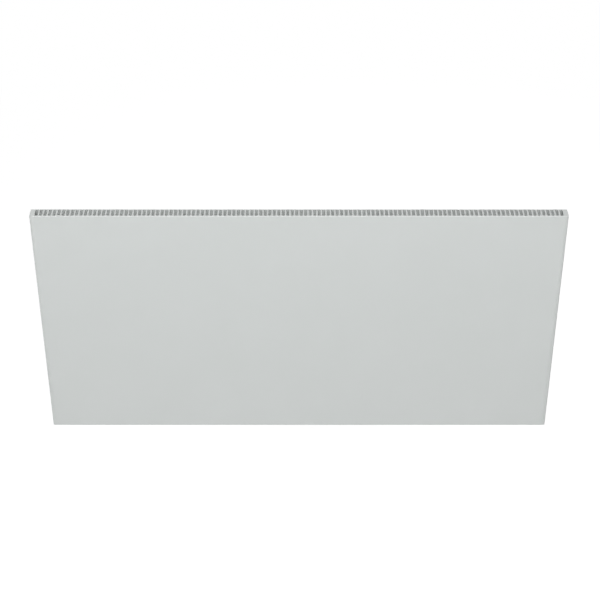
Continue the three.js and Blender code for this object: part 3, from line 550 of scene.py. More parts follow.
def rounded_box(left, right, bottom, top, radius, steps=FOLD_STEPS):
    corners = ((left, bottom), (right, bottom), (right, top), (left, top))
    return rounded([(u, v, radius) for u, v in corners], steps)


def from_behind(low, high, inset, radius, steps=FOLD_STEPS):
    """The outline of the box between two corners, inset all round, as seen along y."""
    sides = (low.x + inset, high.x - inset, low.z + inset, high.z - inset)
    return rounded_box(*sides, radius, steps)


def plate_outline(u, v, length, width, radius):
    """A rounded box about its middle: length along u and width along v."""
    return rounded_box(u - length / 2, u + length / 2, v - width / 2, v + width / 2, radius)


def spread(count, reach):
    """Evenly spaced places from -reach to reach."""
    return [reach * (2 * index / (count - 1) - 1) for index in range(count)]


def loft(rings, looped=False):
    """A closed solid whose skin runs from ring to ring, capped at both ends unless it loops."""
    mesh = bmesh.new()
    rows = [[mesh.verts.new(point) for point in ring] for ring in rings]
    pairs = list(zip(rows, rows[1:]))
    if looped:
        pairs.append((rows[-1], rows[0]))
    for low, high in pairs:
        for index in range(len(low)):
            after = (index + 1) % len(low)
            mesh.faces.new((low[index], low[after], high[after], high[index]))
    if not looped:
        mesh.faces.new(rows[0])
        mesh.faces.new(rows[-1])
    bmesh.ops.recalc_face_normals(mesh, faces=mesh.faces)
    return mesh


def prism(outline, low, high, turn=upward):
    return tapered([(low, outline), (high, outline)], turn)


def tapered(rings, turn=upward):
    """A solid through outlines of as many points, each at its own level: [(level, outline), ...]."""
    return loft([[turn(*point, level) for point in outline] for level, outline in rings])


def rod(radius, low, high, turn=upward, u=0.0, v=0.0, steps=32):
    return prism(circle(radius, steps, u, v), low, high, turn)


def quarter_round(edge):
    """(depth, inset) pairs of an edge with that radius, from the face inwards."""
    angles = [pi / 2 * step / EDGE_STEPS for step in range(EDGE_STEPS + 1)]
    return [(edge * (1 - cos(angle)), edge * (1 - sin(angle))) for angle in angles]


def moulded_bar(low, high):
    """A box between two corners with round corners as seen from behind and soft edges all round."""
    rounds = quarter_round(MOULD_EDGE)
    levels = [(low.y + depth, inset) for depth, inset in rounds]
    levels += [(high.y - depth, inset) for depth, inset in reversed(rounds)]
    rings = [(y, from_behind(low, high, inset, BOX_CORNER - inset, BOX_STEPS)) for y, inset in levels]
    return tapered(rings, backward)


def turned(profile, turn=upward, steps=ROUND_STEPS, looped=False):
    """A round solid from (radius, level) points along its axis."""
    rings = [[turn(*point, level) for point in circle(radius, steps)] for radius, level in profile]
    return loft(rings, looped)


def together(meshes):
    """Several separate solids as one mesh."""
    whole = bmesh.new()
    for mesh in meshes:
        data = bpy.data.meshes.new("part")
        mesh.to_mesh(data)
        mesh.free()
        whole.from_mesh(data)
        bpy.data.meshes.remove(data)
    return whole


def moved(mesh, x=0.0, y=0.0, z=0.0, turn=None):
    if turn is not None:
        bmesh.ops.transform(mesh, matrix=turn, verts=mesh.verts)
    bmesh.ops.translate(mesh, vec=(x, y, z), verts=mesh.verts)
    return mesh


def shaped(base, *steps):
    """The base solid after each (operation, solid) step: JOIN, CUT or SHARE."""
    operations = {"JOIN": "UNION", "CUT": "DIFFERENCE", "SHARE": "INTERSECT"}
    holder = loose_object("base", base)
    tools = []
    for operation, solid in steps:
        tool = loose_object("tool", solid)
        tools.append(tool)
        modifier = holder.modifiers.new("step", "BOOLEAN")
        modifier.operation = operations[operation]
        modifier.solver = "MANIFOLD"
        modifier.object = tool
    bpy.context.view_layer.update()
    result = bmesh.new()
    evaluated = holder.evaluated_get(bpy.context.evaluated_depsgraph_get())
    result.from_mesh(evaluated.to_mesh())
    evaluated.to_mesh_clear()
    bmesh.ops.dissolve_degenerate(result, dist=SLIVER, edges=result.edges)
    for item in (holder, *tools):
        data = item.data
        bpy.data.objects.remove(item)
        bpy.data.meshes.remove(data)
    return result


def linked(name, data):
    item = bpy.data.objects.new(name, data)
    bpy.context.scene.collection.objects.link(item)
    return item


def loose_object(name, mesh):
    data = bpy.data.meshes.new(name)
    mesh.to_mesh(data)
    mesh.free()
    return linked(name, data)


# --- Pieces -------------------------------------------------------------------------------------

made_finishes = {}


def finish_of(slot):
    if slot not in made_finishes:
        make, *given = FINISHES[slot]
        made_finishes[slot] = make(slot, *given)
    return made_finishes[slot]


def dress(item, slot, edge=None):
    """Smooths what is curved, softens sharp edges by edge and gives the piece its finish."""
    item.data.materials.clear()
    item.data.materials.append(finish_of(slot))
    item.data.shade_smooth()
    item.data.set_sharp_from_angle(angle=CREASE)
    if edge:
        bevel = item.modifiers.new("soft_edges", "BEVEL")
        bevel.width = edge
        bevel.segments = 2
        bevel.limit_method = "ANGLE"
        bevel.angle_limit = CREASE
        bevel.use_clamp_overlap = True
    weights = item.modifiers.new("flat_faces", "WEIGHTED_NORMAL")
    weights.keep_sharp = True


def piece(name, mesh, slot, *nodes, body="heater", edge=None):
    """A finished piece that rides on a body and stands for the CAD nodes that it names."""
    item = loose_object(name, mesh)
    dress(item, slot, edge)
    settle(item, slot, *nodes, body=body)


def settle(item, slot, *nodes, body="heater"):
    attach(item, body)
    if nodes:
        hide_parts(*nodes)


def span(node):
    """The lowest and highest corners of a node's box, and its middle."""
    low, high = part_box(node)
    return low, high, (low + high) / 2


def copies(mesh, slot, nodes, ending):
    """The same small piece at each node: its origin lies on the middle of the node's back face."""
    first = loose_object("copy", mesh)
    dress(first, slot)
    for node in nodes:
        low, high, middle = span(node)
        item = first.copy()
        item.name = node + ending
        bpy.context.scene.collection.objects.link(item)
        item.location = (middle.x, high.y, middle.z)
        settle(item, slot, node)
    bpy.data.objects.remove(first)


# --- Casing and rear panel ----------------------------------------------------------------------

casing_low, casing_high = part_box("front_casing")
panel_low, panel_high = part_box("rear_panel")
casing_middle_z = (casing_low.z + casing_high.z) / 2


def casing_plan(inset):
    """The casing from above: the sides roll gently out of the flat front, then bend back sharply."""
    back = casing_high.y - inset
    side = casing_high.x - inset
    bend_x = casing_high.x - SIDE_BEND
    roll_x = bend_x - (SIDE_ROLL - SIDE_BEND) * sin(ROLL_ANGLE)
    roll_y = casing_low.y + SIDE_ROLL
    bend_y = roll_y - (SIDE_ROLL - SIDE_BEND) * cos(ROLL_ANGLE)
    half = arc(roll_x, roll_y, SIDE_ROLL - inset, -pi / 2, ROLL_ANGLE - pi / 2, 2 * FOLD_STEPS)
    half += arc(bend_x, bend_y, SIDE_BEND - inset, ROLL_ANGLE - pi / 2, 0.0, 2 * FOLD_STEPS)[1:]
    fold = CASING_FOLD - inset
    half += arc(side - fold, back - fold, fold, 0.0, pi / 2, FOLD_STEPS)
    return half + [Vector((-u, v)) for u, v in reversed(half)]


def casing_block(inset):
    """What three outlines share: from above, from the side and from the front."""
    left, right = casing_low.x + inset, casing_high.x - inset
    front, back = casing_low.y + inset, casing_high.y - inset
    bottom, top = casing_low.z + inset, casing_high.z - inset
    from_side = rounded_box(front, back, bottom, top, CASING_FOLD - inset)
    lower, upper = BOTTOM_CORNER - inset, TOP_CORNER - inset
    corners = ((left, bottom, lower), (right, bottom, lower), (right, top, upper), (left, top, upper))
    return shaped(
        prism(casing_plan(inset), bottom, top),
        ("SHARE", prism(from_side, left, right, sideways)),
        ("SHARE", prism(rounded(corners), front, back, backward)),
    )


def mouthed_hole(outline_at, face, inward, depth):
    """Rings of a cutter whose mouth at the face is rounded as a coat of powder rounds it."""
    rings = [(face - inward * COAT_EDGE, outline_at(COAT_EDGE))]
    rings += [(face + inward * deep, outline_at(inset)) for deep, inset in quarter_round(COAT_EDGE)]
    return rings + [(face + inward * depth, outline_at(0.0))]


def slot_row(pitch, face, inward):
    """A row of slots across the casing, in the sheet whose outer face is at that height."""
    length = casing_high.y - casing_low.y - SLOT_FROM_FRONT - SLOT_FROM_BACK
    y = casing_low.y + SLOT_FROM_FRONT + length / 2
    reach = casing_high.x - SLOT_FROM_SIDE
    cutters = []
    for x in spread(round(2 * reach / pitch) + 1, reach):

        def outline_at(offset, x=x):
            return slot_outline(x, y, SLOT_WIDTH + 2 * offset, length + 2 * offset)

        cutters.append(tapered(mouthed_hole(outline_at, face, inward, 3 * CASING_SHEET)))
    return together(cutters)


def pin_holes(nodes, front, back, radius=PIN_HOLE):
    """Round holes through a sheet, one for each fastener."""
    middles = [span(node)[2] for node in nodes]
    return together([rod(radius, front, back, backward, middle.x, middle.z, 24) for middle in middles])


def front_casing():
    lip = from_behind(casing_low, casing_high, REAR_LIP, LIP_CORNER)
    behind = casing_high.y + CASING_SHEET
    shell = shaped(
        casing_block(0.0),
        ("CUT", casing_block(CASING_SHEET)),
        ("CUT", prism(lip, casing_high.y - 2 * CASING_SHEET, behind, backward)),
        ("CUT", slot_row(TOP_SLOT_PITCH, casing_high.z, -1)),
        ("CUT", slot_row(BOTTOM_SLOT_PITCH, casing_low.z, 1)),
        ("CUT", pin_holes(REAR_SCREWS, casing_high.y - 2 * CASING_SHEET, behind)),
    )
    piece("casing_shell", shell, "powder_coat", "front_casing")


def bead(x, back, shrink):
    """A pressed bead with a smooth shoulder, drawn from its root to its flat crown."""
    z = casing_middle_z - BEAD_DROP
    levels = [(back - BEAD_HEIGHT, shrink)]
    for step in range(BEAD_STEPS + 1):
        share = step / BEAD_STEPS
        levels.append((back + BEAD_HEIGHT * (1 - cos(pi * share)) / 2, shrink + BEAD_SHOULDER * share))
    rings = []
    for level, inset in levels:
        width, length = BEAD_WIDTH - 2 * inset, BEAD_LENGTH - 2 * inset
        rings.append((level, slot_outline(x, z, width, length, BEAD_END_STEPS)))
    return tapered(rings, backward)


def rear_panel():
    outline = from_behind(panel_low, panel_high, 0.0, REAR_CORNER, 2 * FOLD_STEPS)
    front = panel_low.y
    back = front + REAR_SHEET
    places = spread(BEAD_COUNT, BEAD_REACH)
    panel = shaped(
        prism(outline, front, back, backward),
        ("JOIN", together([bead(x, back, 0.0) for x in places])),
        ("CUT", together([bead(x, front, BEAD_HOLLOW) for x in places])),
        ("CUT", pin_holes(REAR_SCREWS + RIVETS + BUFFER_SCREWS + BOX_SCREWS + EARTH, front - MM, back + MM)),
        ("CUT", pin_holes(GROMMET, front - MM, back + MM, grommet_throat() + PLAY)),
    )
    piece("rear_sheet", panel, "galvanised", "rear_panel")


# --- Rail and hooks -----------------------------------------------------------------------------


def folded_section(corners, left, right):
    return prism(rounded(corners), left, right, sideways)


def wall_rail():
    low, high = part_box("wall_rail")
    inner, outer = SHEET_BEND, SHEET_BEND + RAIL_SHEET
    section = (
        (high.y, low.z),
        (high.y, RAIL_SHELF, outer),
        (low.y + RAIL_SHEET, RAIL_SHELF, inner),
        (low.y + RAIL_SHEET, high.z),
        (low.y, high.z),
        (low.y, RAIL_SHELF - RAIL_SHEET, outer),
        (high.y - RAIL_SHEET, RAIL_SHELF - RAIL_SHEET, inner),
        (high.y - RAIL_SHEET, low.z),
    )
    holes = []
    for x in spread(RAIL_HOLE_COUNT, RAIL_HOLE_REACH):
        upright = slot_outline(0.0, 0.0, RAIL_HOLE_WIDTH, RAIL_HOLE_LENGTH, 12)
        outline = [Vector((x + v, u)) for u, v in upright]
        holes.append(prism(outline, high.y - 2 * RAIL_SHEET, high.y + RAIL_SHEET, backward))
    rail = shaped(folded_section(section, low.x, high.x), ("CUT", together(holes)))
    piece("rail", rail, "galvanised", "wall_rail", body="wall_rail", edge=RAIL_EDGE)


def hook(node):
    """A plate on the rear panel, a shelf towards the wall and a lip that drops behind the rail's."""
    low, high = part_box(node)
    inner, outer = SHEET_BEND, SHEET_BEND + HOOK_SHEET
    section = (
        (low.y, low.z),
        (low.y, high.z, outer),
        (high.y, high.z, outer),
        (high.y, high.z - HOOK_SHEET - HOOK_DROP),
        (high.y - HOOK_SHEET, high.z - HOOK_SHEET - HOOK_DROP),
        (high.y - HOOK_SHEET, high.z - HOOK_SHEET, inner),
        (low.y + HOOK_SHEET, high.z - HOOK_SHEET, inner),
        (low.y + HOOK_SHEET, low.z),
    )
    held = [rivet for rivet in RIVETS if low.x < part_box(rivet)[0].x < high.x]
    holes = pin_holes(held, low.y - MM, low.y + 2 * HOOK_SHEET, RIVET_RADIUS + PLAY)
    plate = shaped(folded_section(section, low.x, high.x), ("CUT", holes))
    piece(node + "_strap", plate, "galvanised", node, edge=RAIL_EDGE)


# --- Fasteners ----------------------------------------------------------------------------------

REAR_SCREWS = [f"rear_screw_{number}" for number in range(1, 11)]
BUFFER_SCREWS = ["buffer_screw_left", "buffer_screw_right"]
COVER_SCREWS = ["cover_screw_1", "cover_screw_2"]
BOX_SCREWS = ["box_screw_1", "box_screw_2"]
RIVETS = [f"hanger_rivet_{number}" for number in range(1, 5)]
EARTH = ["earth_stud"]
GROMMET = ["lead_grommet"]
LEADS = {
    "neutral_lead": "blue_lead",
    "cutout_lead": "brown_lead",
    "live_lead": "brown_lead",
    "switch_lead": "brown_lead",
    "earth_lead": "earth_lead",
}
SHEETS = {
    "element_front_sheet": "mica",
    "heating_track": "resistance_foil",
    "element_rear_sheet": "mica",
    "reflector_sheet": "aluminium",
    "insulation_board": "mineral_wool",
}


def crown(radius, low, high, flat, steps=8):
    """Profile points of a head's crown, from its rim at low to its flat top, flat wide, at high."""
    angles = [pi / 2 * step / steps for step in range(steps + 1)]
    return [(flat + (radius - flat) * cos(angle), low + (high - low) * sin(angle)) for angle in angles]


def threaded(radius, core, length, pitch, point, turn, tip=0.12, sides=24):
    """A screw thread drawn from its tip up to level 0, as one skin of turning rings."""
    levels = ceil(length / pitch * THREAD_RINGS)
    rings = []
    for level in range(levels + 1):
        down = length * (1 - level / levels)
        slim = min(1.0, (length - down) / point * (1 - tip) + tip)
        ring = []
        for side in range(sides):
            phase = (down / pitch + side / sides) % 1.0
            ridge = max(0.0, 1 - abs(phase - 0.5) * RIDGE_SHARPNESS)
            reach = slim * (core + (radius - core) * ridge)
            ring.append(turn(reach * cos(tau * side / sides), reach * sin(tau * side / sides), -down))
        rings.append(ring)
    return loft(rings)


def screws():
    """Pan-head screws with a cross recess, drawn with the top of the head at the origin."""
    low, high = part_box(REAR_SCREWS[0])
    radius = (high.x - low.x) / 2
    length = high.y - low.y - HEAD_HEIGHT
    neck = [(THREAD_CORE, -HEAD_HEIGHT - HEAD_NECK), (THREAD_CORE, -HEAD_HEIGHT), (radius, -HEAD_HEIGHT)]
    head = turned(neck + crown(radius, HEAD_RIM - HEAD_HEIGHT, 0.0, HEAD_FLAT * radius), backward, 32)
    wings = []
    for long, wide in ((2 * RECESS_REACH, RECESS_WIDTH), (RECESS_WIDTH, 2 * RECESS_REACH)):
        mouth = rounded_box(-long / 2, long / 2, -wide / 2, wide / 2, RECESS_WIDTH / 5, 2)
        foot = [point * RECESS_TAPER for point in mouth]
        flare = [point * RECESS_FLARE for point in mouth]
        wings.append(tapered([(-RECESS_DEPTH, foot), (PLAY, flare)], backward))
    shank = threaded(SHANK_RADIUS, THREAD_CORE, length, THREAD_PITCH, THREAD_POINT, backward)
    moved(shank, y=-HEAD_HEIGHT)
    whole = shaped(head, ("JOIN", shank), ("CUT", wings[0]), ("CUT", wings[1]))
    copies(whole, "zinc_plate", REAR_SCREWS + BUFFER_SCREWS + COVER_SCREWS + BOX_SCREWS, "_pan_head")


def rivets():
    """Blind rivets: a low dome with the broken mandrel sunk in its middle."""
    low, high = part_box(RIVETS[0])
    radius = (high.x - low.x) / 2
    length = high.y - low.y
    profile = [
        (MANDREL_RADIUS, -length),
        (RIVET_RADIUS, RIVET_TAIL - length),
        (RIVET_RADIUS, -RIVET_HEAD_HEIGHT),
        (radius, -RIVET_HEAD_HEIGHT),
        *crown(radius, RIVET_RIM - RIVET_HEAD_HEIGHT, 0.0, RIVET_FLAT * radius),
        (MANDREL_RADIUS + MANDREL_EDGE, -0.4 * MANDREL_LIP),
        (MANDREL_RADIUS, -MANDREL_LIP),
        (MANDREL_RADIUS, -MANDREL_SUNK),
        (0.3 * MANDREL_RADIUS, MANDREL_EDGE - MANDREL_SUNK),
    ]
    copies(turned(profile, backward, 32), "aluminium", RIVETS, "_dome")


# --- Rubber buffers -----------------------------------------------------------------------------


def buffer(node):
    low, high, middle = span(node)
    base = (high.x - low.x) / 2
    floor_back = low.y + BUFFER_FLOOR
    corners = (
        (PIN_HOLE, low.y),
        (base, low.y, BUFFER_EDGE),
        (BUFFER_TIP, high.y, BUFFER_ROUND),
        (BUFFER_CUP, high.y, BUFFER_ROUND),
        (BUFFER_CUP, floor_back, BUFFER_EDGE),
        (PIN_HOLE, floor_back),
    )
    foot = turned(rounded(corners), backward, 64, looped=True)
    piece(node + "_rubber", moved(foot, x=middle.x, z=middle.z), "rubber", node)


# --- Terminal box -------------------------------------------------------------------------------


def terminal_box():
    low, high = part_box("terminal_box")
    switch, gland = span("switch_housing")[2], span("gland_body")[2]
    floor_back = low.y + BOX_WALL

    def room_at(flare):
        return from_behind(low, high, BOX_WALL - flare, BOX_CORNER - BOX_WALL + flare, BOX_STEPS)

    mouth = [(high.y - depth, room_at(flare)) for depth, flare in reversed(quarter_round(MOULD_EDGE))]
    length, width = SWITCH_BODY_LENGTH + 2 * PLAY, SWITCH_BODY_WIDTH + 2 * PLAY
    window = plate_outline(switch.x, switch.y, length, width, MOULD_EDGE)
    front, behind = low.y - BOX_WALL, floor_back + BOX_WALL
    below, above = low.z - BOX_WALL, low.z + 2 * BOX_WALL
    tray = shaped(
        moulded_bar(low, high),
        ("CUT", tapered([(floor_back, room_at(0.0)), *mouth], backward)),
        ("JOIN", pin_holes(COVER_SCREWS, low.y + BOX_WALL / 2, high.y - MOULD_EDGE, BOSS_RADIUS)),
        ("CUT", pin_holes(COVER_SCREWS, floor_back, high.y + BOX_WALL)),
        ("CUT", pin_holes(BOX_SCREWS + EARTH, front, behind)),
        ("CUT", pin_holes(GROMMET, front, behind, grommet_throat() + PLAY)),
        ("CUT", rod(GLAND_THREAD + PLAY, below, above, upward, gland.x, gland.y)),
        ("CUT", prism(window, below, above)),
    )
    piece("terminal_tray", tray, "grey_plastic", "terminal_box")


def terminal_cover():
    low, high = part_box("terminal_cover")
    screw_low, screw_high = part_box(COVER_SCREWS[0])
    head = (screw_high.x - screw_low.x) / 2 + PLAY
    cover = shaped(
        moulded_bar(low, high),
        ("CUT", pin_holes(COVER_SCREWS, low.y - MM, high.y + MM)),
        ("CUT", pin_holes(COVER_SCREWS, high.y - COVER_RECESS, high.y + MM, head)),
    )
    piece("terminal_lid", cover, "grey_plastic", "terminal_cover")


def grommet_throat():
    """The radius of the grommet between its flanges."""
    low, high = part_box("lead_grommet")
    return (high.x - low.x) / 2 - GROMMET_LIP


def grommet():
    """A bush with a flange on each side of the sheet and the box floor."""
    low, high, middle = span("lead_grommet")
    throat = grommet_throat()
    rim = throat + GROMMET_LIP
    front, back = low.y + GROMMET_FLANGE, high.y - GROMMET_FLANGE
    corners = (
        (GROMMET_BORE, low.y, GROMMET_MOUTH_ROUND),
        (rim, low.y, GROMMET_RIM_ROUND),
        (rim, front, GROMMET_INNER_ROUND),
        (throat, front),
        (throat, back),
        (rim, back, GROMMET_INNER_ROUND),
        (rim, high.y, GROMMET_RIM_ROUND),
        (GROMMET_BORE, high.y, GROMMET_MOUTH_ROUND),
    )
    ring = turned(rounded(corners), backward, looped=True)
    piece("grommet_bush", moved(ring, x=middle.x, z=middle.z), "rubber", "lead_grommet")


def nut(flats, low, high, bore, turn):
    """A hexagon between two levels, its corners turned off at both ends."""
    corner = flats / sqrt(3)
    slope = (corner - flats / 2) * NUT_SLOPE
    barrel = [
        (flats / 2, low - slope / 2),
        (flats / 2, low),
        (corner + HAIR, low + slope),
        (corner + HAIR, high - slope),
        (flats / 2, high),
        (flats / 2, high + slope / 2),
    ]
    steps = [("SHARE", turned(barrel, turn))]
    if bore:
        steps.append(("CUT", rod(bore, low - MM, high + MM, turn)))
    return shaped(prism(circle(corner, 6), low, high, turn), *steps)


def gland_cap(low, high, widest):
    """The gland's ribbed dome nut: its ribs fade out over the shoulder."""
    profile = (
        (widest - 0.4 * MM, high, 0.0),
        (widest, high - 0.4 * MM, 0.4),
        (widest, high - 1.2 * MM, 1.0),
        (widest - 0.1 * MM, high - 3.2 * MM, 1.0),
        (widest - 0.5 * MM, high - 5.2 * MM, 1.0),
        (widest - 0.9 * MM, high - 6.4 * MM, 0.7),
        (widest - 1.4 * MM, low + 1.5 * MM, 0.2),
        (widest - 1.9 * MM, low + 0.7 * MM, 0.0),
        (GLAND_BORE + 1.5 * MM, low + 0.15 * MM, 0.0),
        (GLAND_BORE + 1.1 * MM, low, 0.0),
    )
    sides = 6 * DOME_RIBS
    rings = []
    for radius, level, ribbed in profile:
        ring = []
        for side in range(sides):
            angle = tau * side / sides
            reach = radius - DOME_RIB_HEIGHT * ribbed * (1 + cos(DOME_RIBS * angle)) / 2
            ring.append(Vector((reach * cos(angle), reach * sin(angle), level)))
        rings.append(ring)
    neck = rod(GLAND_NECK + PLAY, high - GLAND_NECK_LENGTH - PLAY, high + MM)
    return shaped(loft(rings), ("CUT", neck), ("CUT", rod(GLAND_BORE, low - MM, high)))


def cable_gland():
    low, high, middle = span("gland_body")
    nut_low, nut_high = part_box("gland_lock_nut")
    cap_low, cap_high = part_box("gland_dome_nut")
    hex_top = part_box("terminal_box")[0].z - PLAY
    hex_bottom = hex_top - GLAND_HEX
    thread = threaded(GLAND_THREAD, GLAND_CORE, high.z - hex_top + MM, GLAND_PITCH, MM, downward, 0.93, 48)
    body = shaped(
        nut(GLAND_FLATS, hex_bottom, hex_top, None, upward),
        ("JOIN", moved(thread, z=hex_top - MM)),
        ("JOIN", rod(GLAND_NECK, low.z, hex_bottom + MM)),
        ("CUT", rod(GLAND_BORE, low.z - MM, high.z + MM)),
    )
    cap = gland_cap(cap_low.z, cap_high.z, (cap_high.x - cap_low.x) / 2)
    inner = nut(GLAND_FLATS, nut_low.z, nut_high.z, GLAND_THREAD + PLAY, upward)
    parts = (
        ("gland_body_threaded", body, "gland_body"),
        ("gland_dome_ribbed", cap, "gland_dome_nut"),
        ("gland_nut_inside", inner, "gland_lock_nut"),
    )
    for name, mesh, node in parts:
        piece(name, moved(mesh, x=middle.x, y=middle.y), "black_plastic", node)


# --- Switch -------------------------------------------------------------------------------------


def switch_housing():
    low, high, middle = span("switch_housing")
    blade_low = high.z - BLADE_LENGTH
    bezel = rounded_box(low.x, high.x, low.y, high.y, BEZEL_CORNER)
    body = plate_outline(middle.x, middle.y, SWITCH_BODY_LENGTH, SWITCH_BODY_WIDTH, SWITCH_BODY_CORNER)
    length, width = SWITCH_WINDOW_LENGTH, SWITCH_WINDOW_WIDTH
    window = plate_outline(middle.x, middle.y, length, width, SWITCH_WINDOW_CORNER)
    pivot = low.z + PIVOT_DEPTH
    housing = shaped(
        prism(bezel, low.z, low.z + BEZEL_THICKNESS),
        ("JOIN", prism(body, low.z + BEZEL_THICKNESS / 2, blade_low)),
        ("CUT", prism(window, low.z - MM, low.z + SWITCH_WINDOW_DEPTH)),
        ("CUT", rod(TRUNNION_RADIUS + PLAY, low.y - MM, high.y + MM, backward, middle.x, pivot, 24)),
    )
    piece("switch_frame", housing, "black_plastic", "switch_housing", edge=SWITCH_EDGE)
    left, right = middle.y - BLADE_WIDTH / 2, middle.y + BLADE_WIDTH / 2
    corners = (
        (left, blade_low - MM),
        (right, blade_low - MM),
        (right, high.z, BLADE_TIP_ROUND),
        (left, high.z, BLADE_TIP_ROUND),
    )
    blades = []
    for x in spread(2, BLADE_SPACING / 2):
        inner, outer = x + middle.x - BLADE_SHEET / 2, x + middle.x + BLADE_SHEET / 2
        eye = rod(BLADE_EYE, inner - MM, outer + MM, sideways, middle.y, high.z - BLADE_EYE_PLACE, 20)
        blades.append(shaped(prism(rounded(corners), inner, outer, sideways), ("CUT", eye)))
    piece("switch_blades", together(blades), "brass", edge=BLADE_EDGE)


def dish_level(x, reach):
    """How low the rocker's dished face lies at x, from the pivot."""
    return ROCKER_DISH * (1 - (x / reach) ** 2) - PIVOT_DEPTH - ROCKER_PROUD


def rocker_outline(reach):
    """The rocker from the side: a dished face, two round flanks and a flat hub behind the pivot."""
    corner = -acos(reach / ROCKER_SKIRT)
    dish = [Vector((x, dish_level(x, reach))) for x in spread(2 * ROCKER_STEPS + 1, reach)]
    right = arc(0.0, 0.0, ROCKER_SKIRT, corner, ROCKER_RISE, ROCKER_STEPS)[1:]
    left = arc(0.0, 0.0, ROCKER_SKIRT, pi - ROCKER_RISE, pi - corner, ROCKER_STEPS)[:-1]
    return dish + right + [Vector((HUB_REACH, HUB_RISE)), Vector((-HUB_REACH, HUB_RISE))] + left


def rocker():
    """The rocker in its own axes at the pivot, tipped as it rests, with a ring for off and a bar for on."""
    low, high, middle = span("switch_housing")
    pivot = Matrix.Translation((middle.x, middle.y, low.z + PIVOT_DEPTH))
    place = pivot @ Matrix.Rotation(ROCKER_TILT, 4, "Y")
    reach = sqrt(ROCKER_SKIRT**2 - (PIVOT_DEPTH + ROCKER_PROUD) ** 2)
    half = SWITCH_WINDOW_WIDTH / 2 - PLAY
    stub = half + TRUNNION_LENGTH
    key = shaped(
        prism(rocker_outline(reach), -half, half, backward),
        ("JOIN", rod(TRUNNION_RADIUS, -stub, stub, backward, steps=24)),
    )
    moved(key, turn=place)
    piece("rocker_key", key, "black_plastic", "switch_rocker", body="switch_rocker", edge=ROCKER_EDGE)
    ring = [(RING_OUTER, 0.0), (RING_OUTER, MARK_HEIGHT), (RING_INNER, MARK_HEIGHT), (RING_INNER, 0.0)]
    bar = plate_outline(0.0, 0.0, BAR_WIDTH, BAR_LENGTH, BAR_CORNER)
    marks = (
        ("rocker_mark_off", turned(ring, upward, 32, looped=True), -MARK_PLACE),
        ("rocker_mark_on", prism(bar, 0, MARK_HEIGHT), MARK_PLACE),
    )
    for name, mesh, x in marks:
        slope = Matrix.Rotation(2 * ROCKER_DISH * x / reach**2, 4, "Y")
        on_face = Matrix.Translation((x, 0.0, dish_level(x, reach) - MARK_PROUD))
        piece(name, moved(mesh, turn=place @ on_face @ slope), "white_plastic", body="switch_rocker")


# --- Inside -------------------------------------------------------------------------------------


def terminal_block():
    low, high, middle = span("terminal_block")
    base = prism(from_behind(low, high, 0.0, BLOCK_CORNER), low.y, low.y + BLOCK_BASE, backward)
    spacing = (high.x - low.x) / BLOCK_POLES
    half = (spacing - POLE_GAP) / 2
    screw_top = high.y - CLAMP_SUNK
    poles, wells, ways, clamps = [], [], [], []
    for index in range(BLOCK_POLES):
        x = low.x + spacing * (index + 0.5)
        outline = rounded_box(x - half, x + half, low.z + POLE_INSET, high.z - POLE_INSET, BLOCK_CORNER)
        poles.append(prism(outline, low.y, high.y, backward))
        wells.append(rod(POLE_WELL, high.y - POLE_WELL_DEPTH, high.y + MM, backward, x, middle.z, 24))
        ways.append(rod(WAY_RADIUS, low.z - MM, high.z + MM, upward, x, low.y + BLOCK_BASE + WAY_RISE, 24))
        head = rod(CLAMP_RADIUS, low.y + BLOCK_BASE, screw_top, backward, x, middle.z, 24)
        cut = plate_outline(x, middle.z, CLAMP_SLOT_WIDTH, CLAMP_SLOT_LENGTH, CLAMP_SLOT_WIDTH / 6)
        clamps.append(shaped(head, ("CUT", prism(cut, screw_top - CLAMP_SLOT_DEPTH, high.y, backward))))
    block = shaped(base, ("JOIN", together(poles)), ("CUT", together(wells)), ("CUT", together(ways)))
    piece("terminal_strip", block, "white_plastic", "terminal_block", edge=BLOCK_EDGE)
    piece("terminal_clamps", together(clamps), "brass")


def earth_fixing():
    """A round-headed stud through the sheet, its nut, and the lead's ring under a second nut."""
    low, high, middle = span("earth_stud")
    nut_low, nut_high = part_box("earth_nut")
    radius = (high.x - low.x) / 2
    head_back = low.y + STUD_HEAD
    profile = (
        (0.5 * radius, low.y),
        (0.85 * radius, low.y + 0.25 * STUD_HEAD),
        (radius, low.y + 0.6 * STUD_HEAD),
        (radius, head_back),
        (STUD_CORE, head_back),
        (STUD_CORE, head_back + MM),
    )
    thread = threaded(STUD_RADIUS, STUD_CORE, high.y - head_back, STUD_PITCH, STUD_POINT, forward, 0.8)
    stud = shaped(turned(profile, backward, 32), ("JOIN", moved(thread, y=head_back)))
    flats, thickness = nut_high.z - nut_low.z, nut_high.y - nut_low.y
    ring_back = nut_high.y + SEAT_GAP + RING_SHEET
    first = nut(flats, nut_low.y, nut_high.y, STUD_RADIUS + PLAY, backward)
    second = nut(flats, ring_back + SEAT_GAP, ring_back + thickness, STUD_RADIUS + PLAY, backward)
    piece("earth_bolt", moved(stud, x=middle.x, z=middle.z), "zinc_plate", "earth_stud")
    piece("earth_hex_nut", moved(first, x=middle.x, z=middle.z), "brass", "earth_nut")
    piece("earth_ring", ring_terminal(middle, ring_back), "zinc_plate")
    piece("earth_clamp_nut", moved(second, x=middle.x, z=middle.z), "brass")


